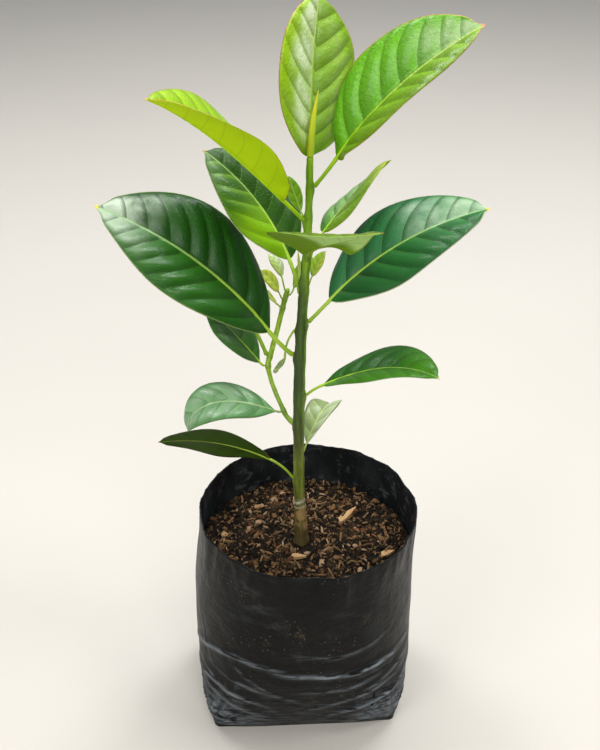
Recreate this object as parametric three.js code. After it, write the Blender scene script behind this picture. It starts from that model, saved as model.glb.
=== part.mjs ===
// A young jackfruit tree in its black nursery bag, in millimetres, with +Z up and +X to the right.
// The origin is the centre of the bag's flat underside.
// Every solid keeps a small gap to the one that it is seated on.

import * as THREE from "three";

// Driving dimensions of the bag and its filling
const GAP = 0.3;
const BAG_HEIGHT = 180;
const FILM = 1.2;
const SOIL_LEVEL = 145;
const BAG_SIDES = 48;
const BASE_TURN = 3;
const EAR_LENGTH = 4;
const EAR_HEIGHT = 10;
const SOIL_ROUGHNESS = 2;

// How the bag opens from its boxy base to its round rim:
// height, half width, half depth, sideways shift and squareness, where 2 is an ellipse
const bagSections = [
  [0, 75, 52, -3.5, 6.5],
  [4, 77, 54, -3.5, 5.6],
  [14, 80, 59, -3.2, 4.4],
  [35, 83, 67, -2.8, 3.2],
  [70, 85, 76, -2.5, 2.5],
  [110, 85, 80.5, -2, 2.15],
  [SOIL_LEVEL, 83.5, 81, -0.5, 2.05],
  [BAG_HEIGHT, 81.5, 81, 1.5, 2],
];

// The stem: height, sideways shift and radius, from the flare on the soil to the tip
const stemSections = [
  [SOIL_LEVEL + GAP, -3.5, 6.2],
  [150, -3.6, 5.3],
  [168, -4, 4.7],
  [187, -5, 3.9],
  [225, -5.8, 3.8],
  [279, -5.4, 4.2],
  [312, -4.6, 4],
  [345, -3.2, 3.4],
  [380, -1, 2.8],
  [415, 0.8, 2.5],
  [458, 1.6, 2.1],
];
const STEM_SIDES = 12;

// The side branch leaves the stem at a height, towards a heading, and bends up behind it:
// its points past the root are right, back and height
const BRANCH_HEIGHT = 254;
const BRANCH_HEADING = 145;
const BRANCH_SIDES = 8;
const branchPoints = [
  [-14.5, 5, 259],
  [-18.5, 9.5, 266],
  [-23, 16, 274],
  [-26.5, 22, 283],
  [-27.5, 25, 291],
  [-25, 30, 299],
  [-21, 37, 312],
  [-16, 45.5, 330],
  [-13, 50, 339],
];
const branchRadii = [2.3, 1.7, 1.6, 1.6, 1.6, 2, 1.9, 1.9, 1.8, 1.3];

// The pointed bud that closes the stem's tip
const BUD_TIP = [6.5, 0, 500];
const BUD_RADIUS = 2.2;

// Shared proportions of a leaf
const PETIOLE_SHARE = 0.0105;
const THICKNESS_SHARE = 0.013;
const THINNEST_LEAF = 0.9;
const ROOT_WIDTH = 1.35;
const ROOT_HEIGHT = 1.7;
const ARCH_SHARE = 0.09;
const petioleSteps = [0, 0.25, 0.6, 1];
const bladeSteps = [0.03, 0.08, 0.16, 0.27, 0.39, 0.51, 0.63, 0.75, 0.85, 0.93, 0.98, 1];
const leafDefaults = {
  on: "stem", turn: 0, bend: 1, widest: 0.5, fullness: 0.8, taper: 0.85, roll: 0, twist: 0, fold: 10,
  leftBase: 1, leftDrop: 0,
};

// One entry for each leaf. Sizes are in millimetres and angles in degrees.
// heading: 0 right, 90 away, 180 left, 270 towards the front; turn: how far the blade swings round
// climb: angle over the horizon at the petiole's root, at the blade's base and at its tip
// roll and twist: how the blade leans to its right; fold: how far its halves are lifted
// taper: how slim the blade runs to its tip; rightFullness: a right half fuller than the left at the base
// leftBase: the left half's share of its width at the base; leftDrop: how far that half hangs further on
const leafList = [
  { name: "leaf_lowest_left", height: 206, heading: 176, turn: 6, climb: [62, 28, -8], petiole: 24,
    length: 85, width: 40, roll: -65, twist: 5, fold: 0 },
  { name: "leaf_behind_stem", height: 224, heading: 55, turn: 20, climb: [55, 50, -80], petiole: 9,
    length: 62, width: 25, bend: 1.5, fullness: 1, roll: 10, fold: 20 },
  { name: "leaf_lower_right", height: 280, heading: -10, turn: -25, climb: [50, 30, -10], petiole: 16,
    length: 90, width: 50, bend: 2, widest: 0.6, roll: -5, twist: 10 },
  { name: "leaf_large_left", height: 312, heading: 175, climb: [40, 55, 21], petiole: 25, length: 146,
    width: 82, fullness: 0.75, roll: 25 },
  { name: "leaf_small_hanging", height: 333, heading: 150, turn: 10, climb: [-50, -90, -20], petiole: 28,
    length: 18, width: 12, roll: 20, fold: 15 },
  { name: "leaf_large_right", height: 338, heading: 12, turn: -18, climb: [45, 47, 17], petiole: 22,
    length: 124, width: 70, fullness: 0.7, roll: -20, twist: 5, fold: 5 },
  { name: "leaf_upper_back", height: 358, heading: 127, turn: 45, climb: [70, 52, 35], petiole: 25,
    length: 94, width: 58, fullness: 0.7, roll: 5, twist: 10, fold: 5 },
  { name: "leaf_small_back", height: 364, heading: 40, turn: -10, climb: [70, 60, 50], petiole: 8,
    length: 20, width: 12, twist: 5 },
  { name: "leaf_pale_axil", height: 371, heading: 185, climb: [60, 85, 90], petiole: 2, length: 20,
    width: 6, fold: 30 },
  { name: "leaf_front", height: 386, heading: 270, turn: 75, climb: [60, 35, 20], petiole: 10, length: 90,
    width: 70, bend: 1.5, widest: 0.4, fullness: 1.25, roll: 20, twist: -5, leftBase: 0.4, leftDrop: 7 },
  { name: "leaf_narrow_right", height: 385, heading: 40, turn: 10, climb: [70, 40, 10], petiole: 20,
    length: 78, width: 54, widest: 0.55, fullness: 0.55, taper: 2.25, roll: 20, twist: 40, fold: 0 },
  { name: "leaf_folded_left", height: 414, heading: 202, turn: 20, climb: [50, 48, 30], petiole: 23,
    length: 122, width: 62, bend: 2, widest: 0.45, fullness: 0.5, roll: -5, twist: 15, fold: 30 },
  { name: "leaf_young_pale", height: 415, heading: 150, climb: [45, 65, 70], petiole: 5, length: 25,
    width: 10, roll: 40, fold: 15 },
  { name: "leaf_top_right", height: 437, heading: -9, turn: 5, climb: [52, 58, 32], petiole: 25,
    length: 121, width: 66, fullness: 0.6, roll: -30, fold: 25 },
  { name: "leaf_top_upright", height: 449, heading: 90, turn: -20, climb: [40, 90, 60], petiole: 7,
    length: 100, width: 65, widest: 0.55, fullness: 0.7, rightFullness: 0.25, roll: -45, twist: -15 },
  { name: "leaf_branch_drooping", on: "branch", height: 262, heading: 195, turn: -5,
    climb: [15, 27, -105], petiole: 4, length: 81, width: 40, bend: 2.5, fullness: 0.95, roll: 10,
    fold: 5 },
  { name: "leaf_branch_left", on: "branch", height: 289, heading: 165, turn: -5, climb: [5, 50, 40],
    petiole: 5, length: 59, width: 40, fullness: 0.85, roll: 5 },
  { name: "leaf_branch_upper", on: "branch", height: 295, heading: 150, climb: [65, 60, 50], petiole: 22,
    length: 70, width: 35 },
  { name: "leaf_shoot_low", on: "branch", height: 326, heading: 220, turn: -5, climb: [55, 50, 55],
    petiole: 4, length: 20, width: 9, roll: 30, twist: 5 },
  { name: "leaf_shoot_middle", on: "branch", height: 331, heading: 185, turn: -5, climb: [75, 65, 40],
    petiole: 6, length: 23, width: 13, roll: 25 },
  { name: "leaf_shoot_left", on: "branch", height: 336, heading: 130, turn: 10, climb: [70, 70, 20],
    petiole: 11, length: 20, width: 11, roll: -5, fold: 5 },
  { name: "leaf_shoot_top", on: "branch", height: 334, heading: 350, turn: 40, climb: [45, 70, 50],
    petiole: 6, length: 30, width: 14, roll: -20, fold: 15 },
];

// Colour, roughness and metalness of each material
const looks = {
  film: ["#17191b", 0.38],
  soil: ["#3a261a", 0.95],
  bark: ["#4c5f1c", 0.6],
  shoot: ["#8aa52a", 0.5],
  bud: ["#a9cc1e", 0.4],
  matureLeaf: ["#1f4d2c", 0.3],
  midLeaf: ["#3f7a2c", 0.35],
  limeLeaf: ["#92bd1b", 0.35],
  paleLeaf: ["#b3cf7a", 0.4],
};
const leafLooks = {
  leaf_lowest_left: "matureLeaf",
  leaf_behind_stem: "paleLeaf",
  leaf_large_left: "matureLeaf",
  leaf_large_right: "matureLeaf",
  leaf_front: "limeLeaf",
  leaf_narrow_right: "limeLeaf",
  leaf_folded_left: "limeLeaf",
  leaf_top_right: "limeLeaf",
  leaf_top_upright: "limeLeaf",
  leaf_small_back: "paleLeaf",
  leaf_small_hanging: "paleLeaf",
  leaf_pale_axil: "paleLeaf",
  leaf_young_pale: "paleLeaf",
  leaf_shoot_middle: "paleLeaf",
  leaf_shoot_left: "paleLeaf",
  leaf_shoot_low: "paleLeaf",
  leaf_shoot_top: "paleLeaf",
};

const radians = THREE.MathUtils.degToRad;
const lerp = THREE.MathUtils.lerp;

// The row of a table at a height, read between its rows
function rowAt(table, height) {
  const last = table.length - 1;
  if (height <= table[0][0]) return table[0];
  if (height >= table[last][0]) return table[last];
  const upper = table.findIndex((row) => row[0] >= height);
  const [low, high] = [table[upper - 1], table[upper]];
  const share = (height - low[0]) / (high[0] - low[0]);
  return low.map((value, i) => lerp(value, high[i], share));
}

// The unit vector at a heading and a climb
function direction(heading, climb) {
  const [turn, rise] = [radians(heading), radians(climb)];
  return new THREE.Vector3(
    Math.cos(turn) * Math.cos(rise),
    Math.sin(turn) * Math.cos(rise),
    Math.sin(rise),
  );
}

// A closed solid through rings of points, each ring counter-clockwise seen from the last ring's side,
// with each four-sided patch split along its shorter diagonal
function loft(rings) {
  const count = rings[0].length;
  const points = rings.flat();
  const faces = [];
  for (let i = 0; i < rings.length - 1; i += 1) {
    for (let j = 0; j < count; j += 1) {
      const [a, b] = [i * count + j, i * count + ((j + 1) % count)];
      const [c, d] = [b + count, a + count];
      if (points[a].distanceToSquared(points[c]) < points[b].distanceToSquared(points[d])) {
        faces.push(a, b, c, a, c, d);
      } else {
        faces.push(a, b, d, b, c, d);
      }
    }
  }
  const middle = (ring) => {
    const sum = ring.reduce((total, point) => total.add(point), new THREE.Vector3());
    return sum.divideScalar(count);
  };
  const [bottom, top] = [points.length, points.length + 1];
  points.push(middle(rings[0]), middle(rings[rings.length - 1]));
  const start = (rings.length - 1) * count;
  for (let j = 0; j < count; j += 1) {
    const next = (j + 1) % count;
    faces.push(bottom, next, j, top, start + j, start + next);
  }
  const geometry = new THREE.BufferGeometry().setFromPoints(points);
  geometry.setIndex(faces);
  geometry.computeVertexNormals();
  return geometry;
}

function mesh(name, geometry, look) {
  const [color, roughness] = looks[look];
  const material = new THREE.MeshStandardMaterial({ color, roughness, metalness: 0 });
  const piece = new THREE.Mesh(geometry, material);
  piece.name = name;
  return piece;
}

// One outline of the bag at a height, drawn in from its outer face
function bagRing(height, inset = 0, z = height) {
  const [, width, depth, shift, squareness] = rowAt(bagSections, height);
  const turn = radians(BASE_TURN) * (1 - height / BAG_HEIGHT);
  const ring = [];
  for (let i = 0; i < BAG_SIDES; i += 1) {
    const angle = (2 * Math.PI * i) / BAG_SIDES;
    const [c, s] = [Math.cos(angle), Math.sin(angle)];
    const ear = EAR_LENGTH * Math.exp(-height / EAR_HEIGHT) * Math.abs(2 * s * c) ** 8;
    const x = Math.sign(c) * (Math.abs(c) ** (2 / squareness) * (width - inset) + ear * Math.SQRT1_2);
    const y = Math.sign(s) * (Math.abs(s) ** (2 / squareness) * (depth - inset) + ear * Math.SQRT1_2);
    const point = new THREE.Vector3(x, y, z).applyAxisAngle(new THREE.Vector3(0, 0, 1), turn);
    ring.push(point.add(new THREE.Vector3(shift, 0, 0)));
  }
  return ring;
}

// The film bag: up its outer face, over the rim, down its inner face to the floor
function growBag() {
  const heights = bagSections.map((row) => row[0]);
  const outer = heights.map((height) => bagRing(height));
  const inside = heights.filter((height) => height > FILM).reverse();
  const inner = inside.map((height) => bagRing(height, FILM));
  return mesh("grow_bag", loft([...outer, ...inner, bagRing(FILM, FILM)]), "film");
}

// The filling, clear of the film all round, with an uneven top that is flat round the stem
function pottingSoil() {
  const inset = FILM + GAP;
  const heights = bagSections.map((row) => row[0]).filter((height) => height > inset && height <= SOIL_LEVEL);
  const walls = [bagRing(FILM, inset, inset), ...heights.map((height) => bagRing(height, inset))];
  const edge = walls[walls.length - 1];
  const foot = new THREE.Vector3(stemSections[0][1], 0, SOIL_LEVEL);
  const tops = [0.94, 0.78, 0.6, 0.42, 0.25, 0.11].map((share, row) => edge.map((point, i) => {
    const place = foot.clone().lerp(point, share);
    const bump = Math.sin(i * 2.4 + row * 1.9) * Math.sin(i * 0.9 - row * 2.3);
    place.z += share > 0.2 ? SOIL_ROUGHNESS * bump : 0;
    return place;
  }));
  return mesh("potting_soil", loft([...walls, ...tops]), "soil");
}

// A limb as a row of places, each with its centre, its tangent and its radius
function limb(centres, radii) {
  return centres.map((centre, i) => {
    const before = centres[Math.max(i - 1, 0)];
    const after = centres[Math.min(i + 1, centres.length - 1)];
    return { centre, radius: radii[i], along: after.clone().sub(before).normalize() };
  });
}

// Where a limb passes a height
function limbAt(places, height) {
  const upper = Math.max(places.findIndex((place) => place.centre.z >= height), 1);
  const [low, high] = [places[upper - 1], places[upper]];
  const share = (height - low.centre.z) / (high.centre.z - low.centre.z);
  return {
    centre: low.centre.clone().lerp(high.centre, share),
    radius: lerp(low.radius, high.radius, share),
    along: low.along.clone().lerp(high.along, share).normalize(),
  };
}

// A round or oval ring about a centre: its width along one axis, its height along the other
function roundRing(centre, across, up, width, height, sides) {
  return Array.from({ length: sides }, (_, i) => {
    const angle = (2 * Math.PI * (i + 0.5)) / sides;
    const point = centre.clone().addScaledVector(across, width * Math.cos(angle));
    return point.addScaledVector(up, height * Math.sin(angle));
  });
}

// The seat of a root on a limb: a flat foot just clear of the limb's skin
function seat(places, height, heading) {
  const { centre, radius, along } = limbAt(places, height);
  const level = direction(heading, 0);
  const outward = level.addScaledVector(along, -level.dot(along)).normalize();
  return {
    centre: centre.clone().addScaledVector(outward, radius + GAP),
    across: new THREE.Vector3().crossVectors(outward, along),
    up: along.clone(),
  };
}

const stem = limb(
  stemSections.map(([height, shift]) => new THREE.Vector3(shift, 0, height)),
  stemSections.map(([, , radius]) => radius),
);
const branchSeat = seat(stem, BRANCH_HEIGHT, BRANCH_HEADING);
const branch = limb(
  [branchSeat.centre, ...branchPoints.map((point) => new THREE.Vector3(...point))],
  branchRadii,
);

function mainStem() {
  const [right, away] = [new THREE.Vector3(1, 0, 0), new THREE.Vector3(0, 1, 0)];
  const rings = stem.map(({ centre, radius }) => roundRing(centre, right, away, radius, radius, STEM_SIDES));
  return mesh("main_stem", loft(rings), "bark");
}

function sideBranch() {
  const { centre, across, up } = branchSeat;
  const foot = roundRing(centre, across, up, branchRadii[0], branchRadii[0], BRANCH_SIDES);
  const rings = branch.slice(1).map((place) => {
    const side = new THREE.Vector3().crossVectors(place.along, up).normalize();
    const over = new THREE.Vector3().crossVectors(side, place.along);
    return roundRing(place.centre, side, over, place.radius, place.radius, BRANCH_SIDES);
  });
  return mesh("side_branch", loft([foot, ...rings].reverse()), "shoot");
}

function terminalBud() {
  const tip = new THREE.Vector3(...BUD_TIP);
  const foot = stem[stem.length - 1].centre.clone().add(new THREE.Vector3(0, 0, GAP));
  const [right, away] = [new THREE.Vector3(1, 0, 0), new THREE.Vector3(0, 1, 0)];
  const swelling = [[0, 0.8], [0.15, 1], [0.4, 0.92], [0.7, 0.6], [0.9, 0.3], [1, 0.12]];
  const rings = swelling.map(([share, size]) => {
    const centre = foot.clone().lerp(tip, share);
    return roundRing(centre, right, away, BUD_RADIUS * size, BUD_RADIUS * size, BRANCH_SIDES);
  });
  return mesh("terminal_bud", loft(rings), "bud");
}

// A blade's half width as a share, from its base at 0 to its tip at 1
function outline(t, widest, fullness, taper) {
  if (t < widest) return Math.sin((Math.PI / 2) * (t / widest)) ** fullness;
  const past = Math.min((t - widest) / (1 - widest), 1);
  return Math.max(Math.cos((Math.PI / 2) * past ** 1.15), 0) ** taper;
}

// How far a hanging left half is below the blade: a little above it at the base, below it from the middle on
function hang(t, drop) {
  const turned = THREE.MathUtils.smoothstep(t, 0.2, 0.45);
  return drop * lerp(-0.7, 1, turned) * (1 - t ** 4) * Math.min(t / 0.1, 1);
}

// The frame of a leaf at a heading, a climb and a roll
function leafFrame(heading, climb, roll) {
  const along = direction(heading, climb);
  const side = direction(heading - 90, 0);
  const normal = new THREE.Vector3().crossVectors(side, along);
  const lean = radians(roll);
  const right = side.clone().multiplyScalar(Math.cos(lean)).addScaledVector(normal, Math.sin(lean));
  const up = normal.multiplyScalar(Math.cos(lean)).addScaledVector(side, -Math.sin(lean));
  return { along, right, up };
}

// The ten points round a leaf's section: over the top from left to right and back underneath,
// with the half width and the hang of each side
function leafRing(centre, frame, sides, petioleRadius, thickness, fold, flatness) {
  const lift = Math.tan(radians(fold));
  const columns = [-1, -0.55, 0, 0.55, 1];
  const point = (column, face, i) => {
    const angle = radians(face > 0 ? 162 - 36 * i : -162 + 36 * i);
    const half = column < 0 ? sides.left : sides.right;
    const spread = column * half * Math.cos(radians(fold));
    const arch = ARCH_SHARE * half * (Math.abs(column) - column * column) * 4;
    const drop = column < 0 ? sides.hang * column * column : 0;
    const rise = Math.abs(spread) * lift + arch - drop + (face * thickness) / 2;
    const x = lerp(petioleRadius * Math.cos(angle), spread, flatness);
    const z = lerp(petioleRadius * Math.sin(angle), rise, flatness);
    return centre.clone().addScaledVector(frame.right, x).addScaledVector(frame.up, z);
  };
  const top = columns.map((column, i) => point(column, 1, i));
  const under = columns.map((column, i) => point(column, -1, i)).reverse();
  return [...top, ...under];
}

// A path of small steps whose heading and climb follow a rule, read at the shares asked for
function walk(start, length, angles, shares) {
  const stepCount = 48;
  const path = [start.clone()];
  for (let i = 0; i < stepCount; i += 1) {
    const step = direction(...angles((i + 0.5) / stepCount)).multiplyScalar(length / stepCount);
    path.push(path[i].clone().add(step));
  }
  return shares.map((share) => {
    const place = share * stepCount;
    const low = Math.min(Math.floor(place), stepCount - 1);
    return path[low].clone().lerp(path[low + 1], place - low);
  });
}

// A leaf: a petiole that rises from its limb and flattens into a folded, arching blade
function leaf(entry) {
  const spec = { ...leafDefaults, ...entry };
  const [rootClimb, baseClimb, tipClimb] = spec.climb;
  const root = seat(spec.on === "stem" ? stem : branch, spec.height, spec.heading);
  const radius = Math.max(PETIOLE_SHARE * spec.length, 0.55);
  const thickness = Math.max(THICKNESS_SHARE * spec.length, THINNEST_LEAF);
  const petioleAngles = (share) => [spec.heading, lerp(rootClimb, baseClimb, share)];
  const bladeAngles = (share) => [
    spec.heading + spec.turn * share,
    lerp(baseClimb, tipClimb, share ** spec.bend),
  ];
  const petiole = walk(root.centre, spec.petiole, petioleAngles, petioleSteps);
  const blade = walk(petiole[petiole.length - 1], spec.length, bladeAngles, bladeSteps);
  const round = { left: radius, right: radius, hang: 0 };
  const rings = petiole.slice(1).map((centre, i) => {
    const share = petioleSteps[i + 1];
    const frame = leafFrame(...petioleAngles(share), spec.roll * share);
    return leafRing(centre, frame, round, radius, thickness, 0, 0);
  });
  blade.forEach((centre, i) => {
    const share = bladeSteps[i];
    const frame = leafFrame(...bladeAngles(share), spec.roll + spec.twist * share);
    const least = Math.max(thickness / 2, radius * (1 - share));
    const halfWidth = (fullness) => (spec.width / 2) * outline(share, spec.widest, fullness, spec.taper);
    const sides = {
      left: Math.max(halfWidth(spec.fullness) * lerp(spec.leftBase, 1, share ** 1.3), least),
      right: Math.max(halfWidth(spec.rightFullness ?? spec.fullness), least),
      hang: hang(share, spec.leftDrop),
    };
    const flatness = Math.min(share / bladeSteps[2], 1);
    const thin = thickness * (share > 0.95 ? 0.7 : 1);
    rings.push(leafRing(centre, frame, sides, radius, thin, spec.fold, flatness));
  });
  const foot = { right: root.across, up: root.up };
  const spread = leafRing(new THREE.Vector3(), foot, round, radius, thickness, 0, 0).map((point) => {
    const [x, z] = [point.dot(foot.right) * ROOT_WIDTH, point.dot(foot.up) * ROOT_HEIGHT];
    return root.centre.clone().addScaledVector(foot.right, x).addScaledVector(foot.up, z);
  });
  return mesh(spec.name, loft([spread, ...rings]), leafLooks[spec.name] ?? "midLeaf");
}

const tree = new THREE.Group();
tree.add(growBag(), pottingSoil(), mainStem(), sideBranch(), terminalBud());
tree.add(...leafList.map(leaf));

export default tree;
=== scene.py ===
# The looks of a young jackfruit tree in its black nursery bag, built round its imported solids.
# Lengths are in millimetres, but in metres for the camera, the lights, the finishes and the finished meshes.
# Angles in the tables are in degrees, unless it says otherwise; +X is right, +Y away, +Z up.
import math
import random
from collections import namedtuple

import bpy
from mathutils import Matrix, Vector, noise


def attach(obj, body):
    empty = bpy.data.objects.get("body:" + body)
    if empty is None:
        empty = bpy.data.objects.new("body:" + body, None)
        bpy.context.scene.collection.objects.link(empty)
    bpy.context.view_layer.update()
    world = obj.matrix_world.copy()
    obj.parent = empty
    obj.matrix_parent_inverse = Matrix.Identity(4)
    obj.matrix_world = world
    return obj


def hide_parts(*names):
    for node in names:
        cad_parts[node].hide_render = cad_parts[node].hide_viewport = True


MM = 0.001

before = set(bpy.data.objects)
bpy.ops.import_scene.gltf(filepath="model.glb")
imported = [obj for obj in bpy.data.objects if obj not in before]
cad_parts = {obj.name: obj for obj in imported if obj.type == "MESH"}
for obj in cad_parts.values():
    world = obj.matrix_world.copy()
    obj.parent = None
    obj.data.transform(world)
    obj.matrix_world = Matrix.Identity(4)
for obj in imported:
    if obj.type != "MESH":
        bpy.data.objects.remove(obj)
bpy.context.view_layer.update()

# Camera and light, in metres

CAMERA_PLACE = (-0.0047, -0.676, 0.7225)
CAMERA_PITCH = 57.8
LENS = 55
SENSOR_WIDTH = 36

SKY_COLOUR = (0.9, 0.95, 1.0, 1.0)
SKY_STRENGTH = 0.24

# Each soft box: its place, the height over the origin that it faces, its size, its power and its colour
SOFT_BOXES = {
    "sky_box": ((0.05, 0.45, 1.9), 0.3, 1.1, 20, (1.0, 0.99, 0.97)),
    "far_right_box": ((0.85, 1.0, 1.85), 0.4, 0.65, 15, (0.97, 0.99, 1.0)),
    "far_left_box": ((-0.9, 0.9, 1.95), 0.4, 0.6, 12, (0.97, 0.99, 1.0)),
    "right_box": ((1.0, -0.35, 2.2), 0.4, 0.6, 12, (1.0, 0.98, 0.95)),
    "left_box": ((-1.0, -1.1, 1.3), 0.25, 0.8, 10, (1.0, 0.98, 0.94)),
    "front_box": ((0.3, -1.5, 1.5), 0.35, 0.9, 13, (1.0, 0.99, 0.96)),
}


def deselect():
    """Nothing stays selected, so that an operator acts only on the new piece."""
    bpy.ops.object.select_all(action="DESELECT")


def place_camera():
    """The viewpoint: a step back from the bag, looking down at it."""
    deselect()
    bpy.ops.object.camera_add(location=CAMERA_PLACE, rotation=(math.radians(CAMERA_PITCH), 0, 0))
    camera = bpy.context.object
    camera.name = "viewpoint"
    camera.data.lens = LENS
    camera.data.sensor_width = SENSOR_WIDTH
    camera.data.clip_start = 0.01
    bpy.context.scene.camera = camera


def soft_light(name, place, facing, size, power, colour):
    """A square soft box that faces the plant at a height."""
    deselect()
    towards = Vector((0, 0, facing)) - Vector(place)
    turn = towards.to_track_quat("-Z", "Y").to_euler()
    bpy.ops.object.light_add(type="AREA", location=place, rotation=turn)
    light = bpy.context.object
    light.name = name
    light.data.size = size
    light.data.energy = power
    light.data.color = colour
    light.visible_camera = False


def place_lights():
    """A pale sky all round, and soft boxes that the tips, the halves and the far leaves each mirror."""
    bpy.context.scene.view_settings.view_transform = "Standard"
    sky = bpy.data.worlds.new("studio_sky")
    sky.use_nodes = True
    background = sky.node_tree.nodes["Background"]
    background.inputs["Color"].default_value = SKY_COLOUR
    background.inputs["Strength"].default_value = SKY_STRENGTH
    bpy.context.scene.world = sky
    for name, box in SOFT_BOXES.items():
        soft_light(name, *box)


# Finishes

# The sockets of a Mix node that mixes colours, which share their names with others
MIX_SHARE = 0
MIX_FIRST = 6
MIX_SECOND = 7
MIX_RESULT = 2


def shade(code):
    """A colour written in hexadecimal, as linear light."""
    parts = [int(code[i:i + 2], 16) / 255 for i in (1, 3, 5)]
    linear = [part / 12.92 if part <= 0.04045 else ((part + 0.055) / 1.055) ** 2.4 for part in parts]
    return (*linear, 1.0)


def with_light(code, share):
    """A colour with its light multiplied by a share."""
    return (*[part * share for part in shade(code)[:3]], 1.0)


class Value:
    """A number that varies over a surface; an expression on it adds the Math nodes that work it out."""

    def __init__(self, finish, socket):
        self.finish = finish
        self.socket = socket

    def math(self, operation, *values):
        return self.finish.add("ShaderNodeMath", {"operation": operation}, dict(enumerate(values)))

    def __add__(self, other):
        return self.math("ADD", self, other)

    def __sub__(self, other):
        return self.math("SUBTRACT", self, other)

    def __rsub__(self, other):
        return self.math("SUBTRACT", other, self)

    def __mul__(self, other):
        return self.math("MULTIPLY", self, other)

    def size(self):
        return self.math("ABSOLUTE", self)

    def fraction(self):
        return self.math("FRACT", self)

    __radd__ = __add__
    __rmul__ = __mul__


class Finish:
    """One material and the ways of adding to its nodes; a colour may be given by its hexadecimal code."""

    def __init__(self, name, roughness, **constants):
        self.material = bpy.data.materials.new(name)
        self.material.use_nodes = True
        self.tree = self.material.node_tree
        self.shader = self.tree.nodes["Principled BSDF"]
        self.shader.inputs["Roughness"].default_value = roughness
        for socket, value in constants.items():
            self.shader.inputs[socket.replace("_", " ")].default_value = value

    def add(self, kind, settings, sockets, output=0):
        """One node: its settings first, then its sockets' values or links; gives one output, or all."""
        node = self.tree.nodes.new(kind)
        for name, value in settings.items():
            setattr(node, name, value)
        for name, value in sockets.items():
            if isinstance(value, Value):
                self.tree.links.new(value.socket, node.inputs[name])
            else:
                node.inputs[name].default_value = shade(value) if isinstance(value, str) else value
        if output == "all":
            return [Value(self, socket) for socket in node.outputs]
        return Value(self, node.outputs[output])

    def feed(self, socket, value):
        self.tree.links.new(value.socket, self.shader.inputs[socket])

    def attribute(self, name):
        """The three numbers of a piece's own attribute."""
        vector = self.add("ShaderNodeAttribute", {"attribute_name": name}, {}, "Vector")
        return self.add("ShaderNodeSeparateXYZ", {}, {0: vector}, "all")

    def place(self, stretch=(1, 1, 1)):
        """The place on the piece, stretched before a pattern reads it."""
        here = self.add("ShaderNodeTexCoord", {}, {}, "Object")
        return self.add("ShaderNodeMapping", {}, {"Vector": here, "Scale": stretch})

    def grain(self, scale, detail=3, rough=0.55, where=None):
        """Cloudy noise, its cells per metre given by the scale."""
        sockets = {"Vector": where or self.place(), "Scale": scale, "Detail": detail, "Roughness": rough}
        return self.add("ShaderNodeTexNoise", {}, sockets)

    def cells(self, scale, feature="F1"):
        """The distance to the middle of the nearest cell, or to its edge."""
        sockets = {"Vector": self.place(), "Scale": scale}
        return self.add("ShaderNodeTexVoronoi", {"feature": feature}, sockets)

    def step(self, value, low, high):
        """0 below low, 1 above high and smooth between."""
        sockets = {"Value": value, "From Min": low, "From Max": high}
        return self.add("ShaderNodeMapRange", {"interpolation_type": "SMOOTHSTEP"}, sockets)

    def mix(self, share, first, second):
        """From the first colour to the second by a share."""
        sockets = {MIX_SHARE: share, MIX_FIRST: first, MIX_SECOND: second}
        return self.add("ShaderNodeMix", {"data_type": "RGBA"}, sockets, MIX_RESULT)

    def layers(self, colour, *layers):
        """Colours laid over a first one, each by its own share."""
        for share, layer in layers:
            colour = self.mix(share, colour, layer)
        return colour

    def turn(self, value, low, high, first, second):
        """From the first colour to the second as a value goes from low to high."""
        return self.mix(self.step(value, low, high), first, second)

    def tint(self, code, spread, value):
        """A colour made lighter or darker by how far a value is from its middle."""
        return self.mix(value, with_light(code, 1 - spread), with_light(code, 1 + spread))

    def bump(self, height, depth, strength=1.0):
        """Relief in metres, fed to the normal."""
        sockets = {"Height": height, "Distance": depth, "Strength": strength}
        self.feed("Normal", self.add("ShaderNodeBump", {}, sockets))


# The same rules as the solids

GAP = 0.3
BAG_HEIGHT = 180
SOIL_LEVEL = 145
BASE_TURN = 3
EAR_LENGTH = 4
EAR_HEIGHT = 10

# Height, half width, half depth, sideways shift and squareness of the bag
BAG_SECTIONS = [
    (0, 75, 52, -3.5, 6.5),
    (4, 77, 54, -3.5, 5.6),
    (14, 80, 59, -3.2, 4.4),
    (35, 83, 67, -2.8, 3.2),
    (70, 85, 76, -2.5, 2.5),
    (110, 85, 80.5, -2, 2.15),
    (145, 83.5, 81, -0.5, 2.05),
    (180, 81.5, 81, 1.5, 2),
]

# Height, sideways shift and radius of the stem
STEM_SECTIONS = [
    (145.3, -3.5, 6.2),
    (150, -3.6, 5.3),
    (168, -4, 4.7),
    (187, -5, 3.9),
    (225, -5.8, 3.8),
    (279, -5.4, 4.2),
    (312, -4.6, 4),
    (345, -3.2, 3.4),
    (380, -1, 2.8),
    (415, 0.8, 2.5),
    (458, 1.6, 2.1),
]

BRANCH_HEIGHT = 254
BRANCH_HEADING = 145
BRANCH_POINTS = [
    (-14.5, 5, 259),
    (-18.5, 9.5, 266),
    (-23, 16, 274),
    (-26.5, 22, 283),
    (-27.5, 25, 291),
    (-25, 30, 299),
    (-21, 37, 312),
    (-16, 45.5, 330),
    (-13, 50, 339),
]
BRANCH_RADII = [2.3, 1.7, 1.6, 1.6, 1.6, 2, 1.9, 1.9, 1.8, 1.3]
BRANCH_KNOT = 289
BUD_TIP = (6.5, 0, 500)
BUD_RADIUS = 2.2

PETIOLE_SHARE = 0.0105
PETIOLE_LEAST = 0.55
ARCH_SHARE = 0.09
PATH_STEPS = 48

LEAF_DEFAULTS = dict(
    on="stem", turn=0, bend=1, widest=0.5, fullness=0.8, taper=0.85, roll=0, twist=0, fold=10,
    left_base=1, left_drop=0)

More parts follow.
